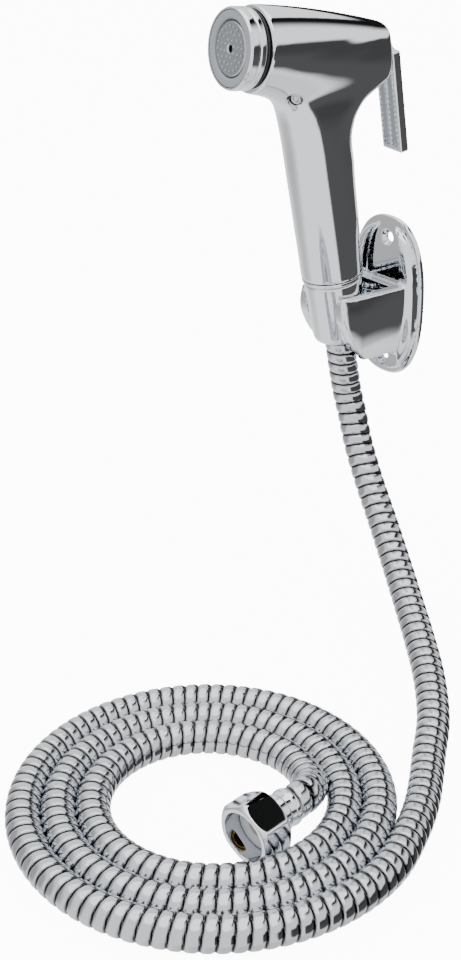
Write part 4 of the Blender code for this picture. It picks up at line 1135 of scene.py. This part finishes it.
@dataclass
class Trigger:
    """The trigger: a channel section with a middle rib, and the tongue on its pin."""

    half_width: float = 6.8
    depth: float = 4.7
    length: float = 46.0
    outer: float = 43.8
    top: float = 91.6
    wall: float = 1.8
    floor: float = 1.6
    rib_half_width: float = 0.7
    tongue_half_width: float = 3.4
    pivot: tuple[float, float] = (36.82, 99.30)
    nose: tuple[float, float] = (31.2, 93.6)
    boss_radius: float = 3.3
    pin_radius: float = 1.4

    def _field(self, x: Array, y: Array, z: Array) -> Array:
        """Field of the trigger in the handset's frame."""
        u, v, w = HANDSET.local(x, y, z)
        inner = self.outer - self.depth
        foot = self.top - self.length
        low, high = (-self.half_width, inner, foot), (self.half_width, self.outer, self.top)
        plate = box_field((u, v, w), low, high, 1.1)
        channel = box_field(
            (np.abs(u), v, w),
            (self.rib_half_width, inner - 5.0, foot + self.wall + 0.6),
            (self.half_width - self.wall, self.outer - self.floor, self.top - 4.5), 0.3,
        )
        plate = carve(plate, channel, 0.35)
        root = (self.outer - self.depth / 2, self.top - 3.0)
        tongue = smooth_min(
            self._bar(v, w, self.pivot, root, self.boss_radius, self.depth / 2 - 0.1),
            self._bar(v, w, self.pivot, self.nose, self.boss_radius, 1.1), 1.2,
        )
        tongue = smooth_max(tongue, np.abs(u) - self.tongue_half_width, 0.5)
        body = smooth_min(plate, tongue, 1.4)
        pin = np.sqrt((v - self.pivot[0]) ** 2 + (w - self.pivot[1]) ** 2) - self.pin_radius
        return carve(body, pin, 0.2)

    @staticmethod
    def _bar(
        v: Array, w: Array, start: tuple[float, float], end: tuple[float, float], first: float, last: float,
    ) -> Array:
        """Distance to a bar with round ends that tapers from one radius to another."""
        dv, dw = end[0] - start[0], end[1] - start[1]
        t = np.clip(((v - start[0]) * dv + (w - start[1]) * dw) / (dv * dv + dw * dw), 0, 1)
        return np.sqrt((v - start[0] - t * dv) ** 2 + (w - start[1] - t * dw) ** 2) - (first + (last - first) * t)

    def build(self) -> None:
        """Build the trigger over the CAD lever's box."""
        low, high = (np.array(corner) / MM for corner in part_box("lever"))
        lever = FieldMesher(0.42).build("channel_trigger", self._field, low - 1, high + 1)
        place_piece(lever, POLISHED_CHROME, Fixing.TRIGGER, "lever")


# ---------------------------------------------------------------- bracket


@dataclass
class Bracket:
    """The wall bracket: oval plate with two screw pockets, and the open holder for the nut."""

    half_width: float = 23.5
    half_height: float = 38.25
    centre: float = 2.0
    roundness: float = 2.45
    thick: float = 7.0
    rim: float = 2.6
    rim_step: float = 2.0
    pocket_half_width: float = 12.8
    pocket_floor: float = 3.0
    upper_sill: float = 9.6
    upper_top: float = 37.0
    lower_sill: float = -23.6
    lower_end: float = -32.0
    screw_heights: tuple[float, float] = (30.0, -27.8)
    arm_top: float = 12.0
    belly_foot: float = -21.5
    root_half_width: float = 18.5
    wall_depths: tuple[float, ...] = (0.0, 8.4, 13.0, 18.6, 25.7, 33.8, 43.0)
    walls: tuple[float, ...] = (1.4, 2.7, 4.2, 5.1, 5.0, 3.8, 1.4)
    front_depths: tuple[float, ...] = (-4.0, 3.0, 8.4, 13.0, 18.0, 24.0, 31.0, 35.0, 43.0)
    fronts: tuple[float, ...] = (5.4, 6.6, 7.6, 8.6, 8.8, 7.4, 4.9, 2.8, -2.6)
    well_half_width: float = 12.6
    well_depth: float = 15.0
    well_front: float = -32.0
    well_back: float = -7.3
    root_heights: tuple[float, ...] = (-32.0, -24.0, -14.0, -2.0, 14.0)
    root_shares: tuple[float, ...] = (0.55, 0.72, 0.9, 1.0, 1.0)
    screw_hole_radius: float = 2.2
    screw_seat_radius: float = 4.0

    @staticmethod
    def _seat(below: Array) -> Array:
        """Radius of the socket at a depth below the handle's foot."""
        return 13.1 - 1.1 * (below - 2.7) / 29.6 + 0.3

    def _plate(self, x: Array, y: Array, z: Array) -> Array:
        """Field of the stepped and crowned plate."""
        oval = rounded_section(x, z - self.centre, self.half_width, self.half_height, self.roundness)
        rim = smooth_max(oval, np.maximum(-self.rim - y, y), 0.9)
        crown = smooth_max(oval + self.rim_step, -self.thick - y, 4.0)
        crown = np.maximum(crown, y)
        return smooth_min(rim, crown, 0.5)

    def _pocket(self, x: Array, y: Array, z: Array, sill: float, end: float, side: Side) -> Array:
        """Field of a screw pocket with a level edge and a rounded end."""
        rise = abs(end - sill)
        lift = (z - sill) * side.value
        arch = rounded_section(x, np.maximum(lift, 0), self.pocket_half_width, rise, 2.6)
        return smooth_max(smooth_max(arch, -lift, 0.5), y + self.pocket_floor, 0.5)

    def _belly(self, x: Array, y: Array, z: Array, u: Array, v: Array, below: Array) -> Array:
        """Field of the holder's outer form, drawn from the socket back to the plate."""
        axis_y = SEAT.origin[1] / MM + (SEAT.origin[2] / MM - z) * math.tan(math.radians(10.0))
        outer = self._seat(below) + blended(below, self.wall_depths, self.walls)
        root = self.root_half_width * blended(z, self.root_heights, self.root_shares)
        share = np.clip((y - axis_y) / (-3.0 - axis_y), 0, 1)
        across = np.sqrt(x * x + (y - axis_y - share * (-3.0 - axis_y)) ** 2)
        belly = across - (outer + (root - outer) * share)
        belly = smooth_max(belly, y + 1.0, 0.5)
        belly = smooth_max(belly, z - self.arm_top, 1.3)
        belly = smooth_max(belly, self.belly_foot - z, 2.5)
        front = -v - blended(below, self.front_depths, self.fronts)
        return smooth_max(belly, front, 1.0)

    def _field(self, x: Array, y: Array, z: Array) -> Array:
        """Field of the whole bracket."""
        u, v, w = SEAT.local(x, y, z)
        below = -w
        body = smooth_min(self._plate(x, y, z), self._belly(x, y, z, u, v, below), 3.0)
        body = np.maximum(body, y)
        across = np.sqrt(u * u + v * v)
        socket = np.maximum(across - self._seat(below), below - 32.6)
        body = carve(body, socket, 0.7)
        body = carve(body, across - 9.0, 0.8)
        well_floor = self.arm_top - self.well_depth
        low = (-self.well_half_width, self.well_front, well_floor)
        high = (self.well_half_width, self.well_back, self.half_height)
        well = box_field((x, y, z), low, high, 1.5)
        body = carve(body, well, 0.8)
        body = carve(body, self._pocket(x, y, z, self.upper_sill, self.upper_top, Side.UP), 0.7)
        body = carve(body, self._pocket(x, y, z, self.lower_sill, self.lower_end, Side.DOWN), 0.7)
        for height in self.screw_heights:
            hole = np.sqrt(x * x + (z - height) ** 2)
            body = carve(body, hole - self.screw_hole_radius, 0.3)
            countersink = hole - self.screw_seat_radius + np.maximum(y + self.pocket_floor, 0.0)
            body = carve(body, countersink * 0.7, 0.3)
        return body

    def build(self) -> None:
        """Build the bracket over the CAD bracket's box."""
        low, high = (np.array(corner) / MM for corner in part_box("bracket"))
        made = FieldMesher(0.62).build("oval_wall_bracket", self._field, low - 1, high + 1)
        place_piece(made, POLISHED_CHROME, Fixing.WALL, "bracket")


# ---------------------------------------------------------------- studio


@dataclass(frozen=True)
class Card:
    """A card in the surround: where directions lie between two heights on each of two axes.

    Each limit is (height, softness), where a height is the direction's share along the axis.
    """

    level: float
    axis: Point
    low: tuple[float, float]
    high: tuple[float, float]
    cross_axis: Point
    cross_low: tuple[float, float]
    cross_high: tuple[float, float]

    def blend(
        self, tree: bpy.types.NodeTree, place: bpy.types.NodeSocket, level: bpy.types.NodeSocket | float,
    ) -> bpy.types.NodeSocket:
        """Blend the card over a level.

        Args:
            tree: The surround's node tree.
            place: The direction looked in.
            level: The brightness without this card, a value or a socket.

        Returns:
            The brightness with the card.
        """
        mask = None
        ranges = (
            (self.axis, self.low, self.high),
            (self.cross_axis, self.cross_low, self.cross_high),
        )
        for axis, low, high in ranges:
            share = add_node(tree, "ShaderNodeVectorMath", {
                0: place, 1: tuple(Vector(axis).normalized()),
            }, operation="DOT_PRODUCT").outputs["Value"]
            for (edge, soft), rises in ((low, True), (high, False)):
                step = add_node(tree, "ShaderNodeMapRange", {
                    "Value": share, "From Min": edge - soft, "From Max": edge + soft,
                    "To Min": 0.0 if rises else 1.0, "To Max": 1.0 if rises else 0.0,
                }, interpolation_type="SMOOTHSTEP").outputs["Result"]
                if mask is None:
                    mask = step
                else:
                    mask = calculate(tree, "MULTIPLY", mask, step)
        drop = calculate(tree, "SUBTRACT", self.level, level)
        return calculate(tree, "MULTIPLY_ADD", drop, mask, level)


UPWARD = (0.0, 0.0, 1.0)
STUDIO_CARDS = (
    # Bright ceiling panel.
    Card(2.6, UPWARD, (0.80, 0.06), (1.5, 0.1), (1.0, 0.0, 0.0), (-2.0, 0.1), (2.0, 0.1)),
    # Grey wall on the left, which gives the light side of the handle its soft shade.
    Card(0.62, (-0.85, -0.53, 0.0), (0.82, 0.12), (1.5, 0.1), UPWARD, (-0.8, 0.1), (0.75, 0.1)),
    # Lighter floor strip, seen in the lower half of the upright pieces.
    Card(1.15, UPWARD, (-1.5, 0.1), (-0.70, 0.10), (0.70, 0.714, 0.0), (-0.2, 0.2), (1.5, 0.1)),
    # Dark grey wall on the right, darkest where it meets the next panel.
    Card(0.105, UPWARD, (-0.62, 0.10), (0.20, 0.07), (0.70, 0.714, 0.0), (0.58, 0.05), (1.5, 0.1)),
    Card(0.07, UPWARD, (-0.16, 0.16), (0.17, 0.05), (0.70, 0.714, 0.0), (0.66, 0.06), (1.5, 0.1)),
    # Black panel above it, sharp at its upper edge and fading downward.
    Card(0.012, (-0.62, 0.0, 0.785), (0.36, 0.16), (0.62, 0.02), (0.35, 0.937, 0.0), (0.30, 0.10), (1.5, 0.1)),
)


@dataclass
class Studio:
    """Pale floor, a surround that the chrome mirrors, soft lights and the camera."""

    floor_half: float = 14.0
    floor_glow: float = 11.0
    wall_level: float = 1.5
    camera_place: Point = (0.5256, -0.5034, 0.256)
    azimuth_degrees: float = 52.14
    pitch_degrees: float = 25.9
    focal_mm: float = 40.45

    def camera(self) -> None:
        """Add the camera."""
        a = math.radians(self.azimuth_degrees)
        e = math.radians(self.pitch_degrees)
        back = Vector((math.sin(a) * math.cos(e), -math.cos(a) * math.cos(e), math.sin(e)))
        right = Vector((math.cos(a), math.sin(a), 0))
        up = back.cross(right)
        data = bpy.data.cameras.new("studio_camera")
        data.sensor_fit = "VERTICAL"
        data.sensor_height = 24.0
        data.lens = self.focal_mm
        data.clip_start = 0.01
        made = link("studio_camera", data)
        turn = Matrix((right, up, back)).transposed().to_4x4()
        made.matrix_world = Matrix.Translation(self.camera_place) @ turn
        bpy.context.scene.camera = made

    def floor(self) -> None:
        """Add the pale floor under the coil."""
        half = self.floor_half
        data = bpy.data.meshes.new("pale_floor")
        z = GROUND_Z
        corners = [(-half, -half, z), (half, -half, z), (half, half, z), (-half, half, z)]
        data.from_pydata(corners, [], [(0, 1, 2, 3)])
        made = link("pale_floor", data)
        paint = bpy.data.materials.new("pale_paper")
        paint.use_nodes = True
        shader = paint.node_tree.nodes["Principled BSDF"]
        shader.inputs["Base Color"].default_value = linear("#F8F8F8")
        shader.inputs["Roughness"].default_value = 0.9
        shader.inputs["Specular IOR Level"].default_value = 0.0
        shader.inputs["Emission Color"].default_value = linear("#FFFFFF")
        shader.inputs["Emission Strength"].default_value = self.floor_glow
        data.materials.append(paint)
        made.visible_glossy = False
        made.visible_diffuse = False

    def surround(self) -> None:
        """Set the surround: light walls with dark cards, which the chrome mirrors."""
        world = bpy.data.worlds.new("studio_surround")
        bpy.context.scene.world = world
        world.use_nodes = True
        tree = world.node_tree
        tree.nodes.clear()
        place = add_node(tree, "ShaderNodeTexCoord").outputs["Generated"]
        level: bpy.types.NodeSocket | float = self.wall_level
        for card in STUDIO_CARDS:
            level = card.blend(tree, place, level)
        back = add_node(tree, "ShaderNodeBackground", {"Color": level, "Strength": 1.0})
        add_node(tree, "ShaderNodeOutputWorld", {"Surface": back.outputs["Background"]})

    def lights(self) -> None:
        """Add two large soft lights."""
        for name, place, size, power in (
            ("key_softbox", (-0.9, -1.1, 1.5), 1.2, 16.0), ("fill_softbox", (1.6, -1.6, 1.6), 1.6, 12.0),
        ):
            data = bpy.data.lights.new(name, "AREA")
            data.size = size
            data.energy = power
            made = link(name, data)
            made.visible_glossy = False
            aim = Vector((0.08, -0.12, -0.05)) - Vector(place)
            made.location = place
            made.rotation_euler = aim.to_track_quat("-Z", "Y").to_euler()

    def build(self) -> None:
        """Set the whole studio up."""
        self.camera()
        self.floor()
        self.surround()
        self.lights()


CAD_FINISHES: dict[Finish, tuple[str, ...]] = {
    WHITE_ACETAL: ("core_tube", "valve_housing", "stem_guide", "spring_retainer"),
    BLACK_RUBBER: ("core_seal", "face_seal", "valve_disc", "stem_o_ring", "top_washer"),
    TURNED_BRASS: ("top_insert", "end_insert", "valve_stem"),
    DRAWN_STEEL: ("valve_spring", "lever_pin"),
    SATIN_CHROME: ("top_sleeve",),
}


def dress_cad_nodes() -> None:
    """Give the CAD pieces that stay their finishes."""
    for finish, names in CAD_FINISHES.items():
        for name in names:
            dress(frame["nodes"][name], finish)
            LOG.info("%s: kept, %s", name, finish.name)


def main() -> None:
    """Build the sprayer and its studio."""
    logging.basicConfig(level=logging.INFO, format="%(name)s: %(message)s")
    Studio().build()
    hose = Hose()
    mesh = hose.build()
    hose.finish(mesh, HoseEnd().build())
    ConicalNut().build()
    Bracket().build()
    HandsetBody().build()
    RetainingScrew().build()
    SprayHead().build()
    Trigger().build()
    dress_cad_nodes()


if __name__ == "__main__":
    main()
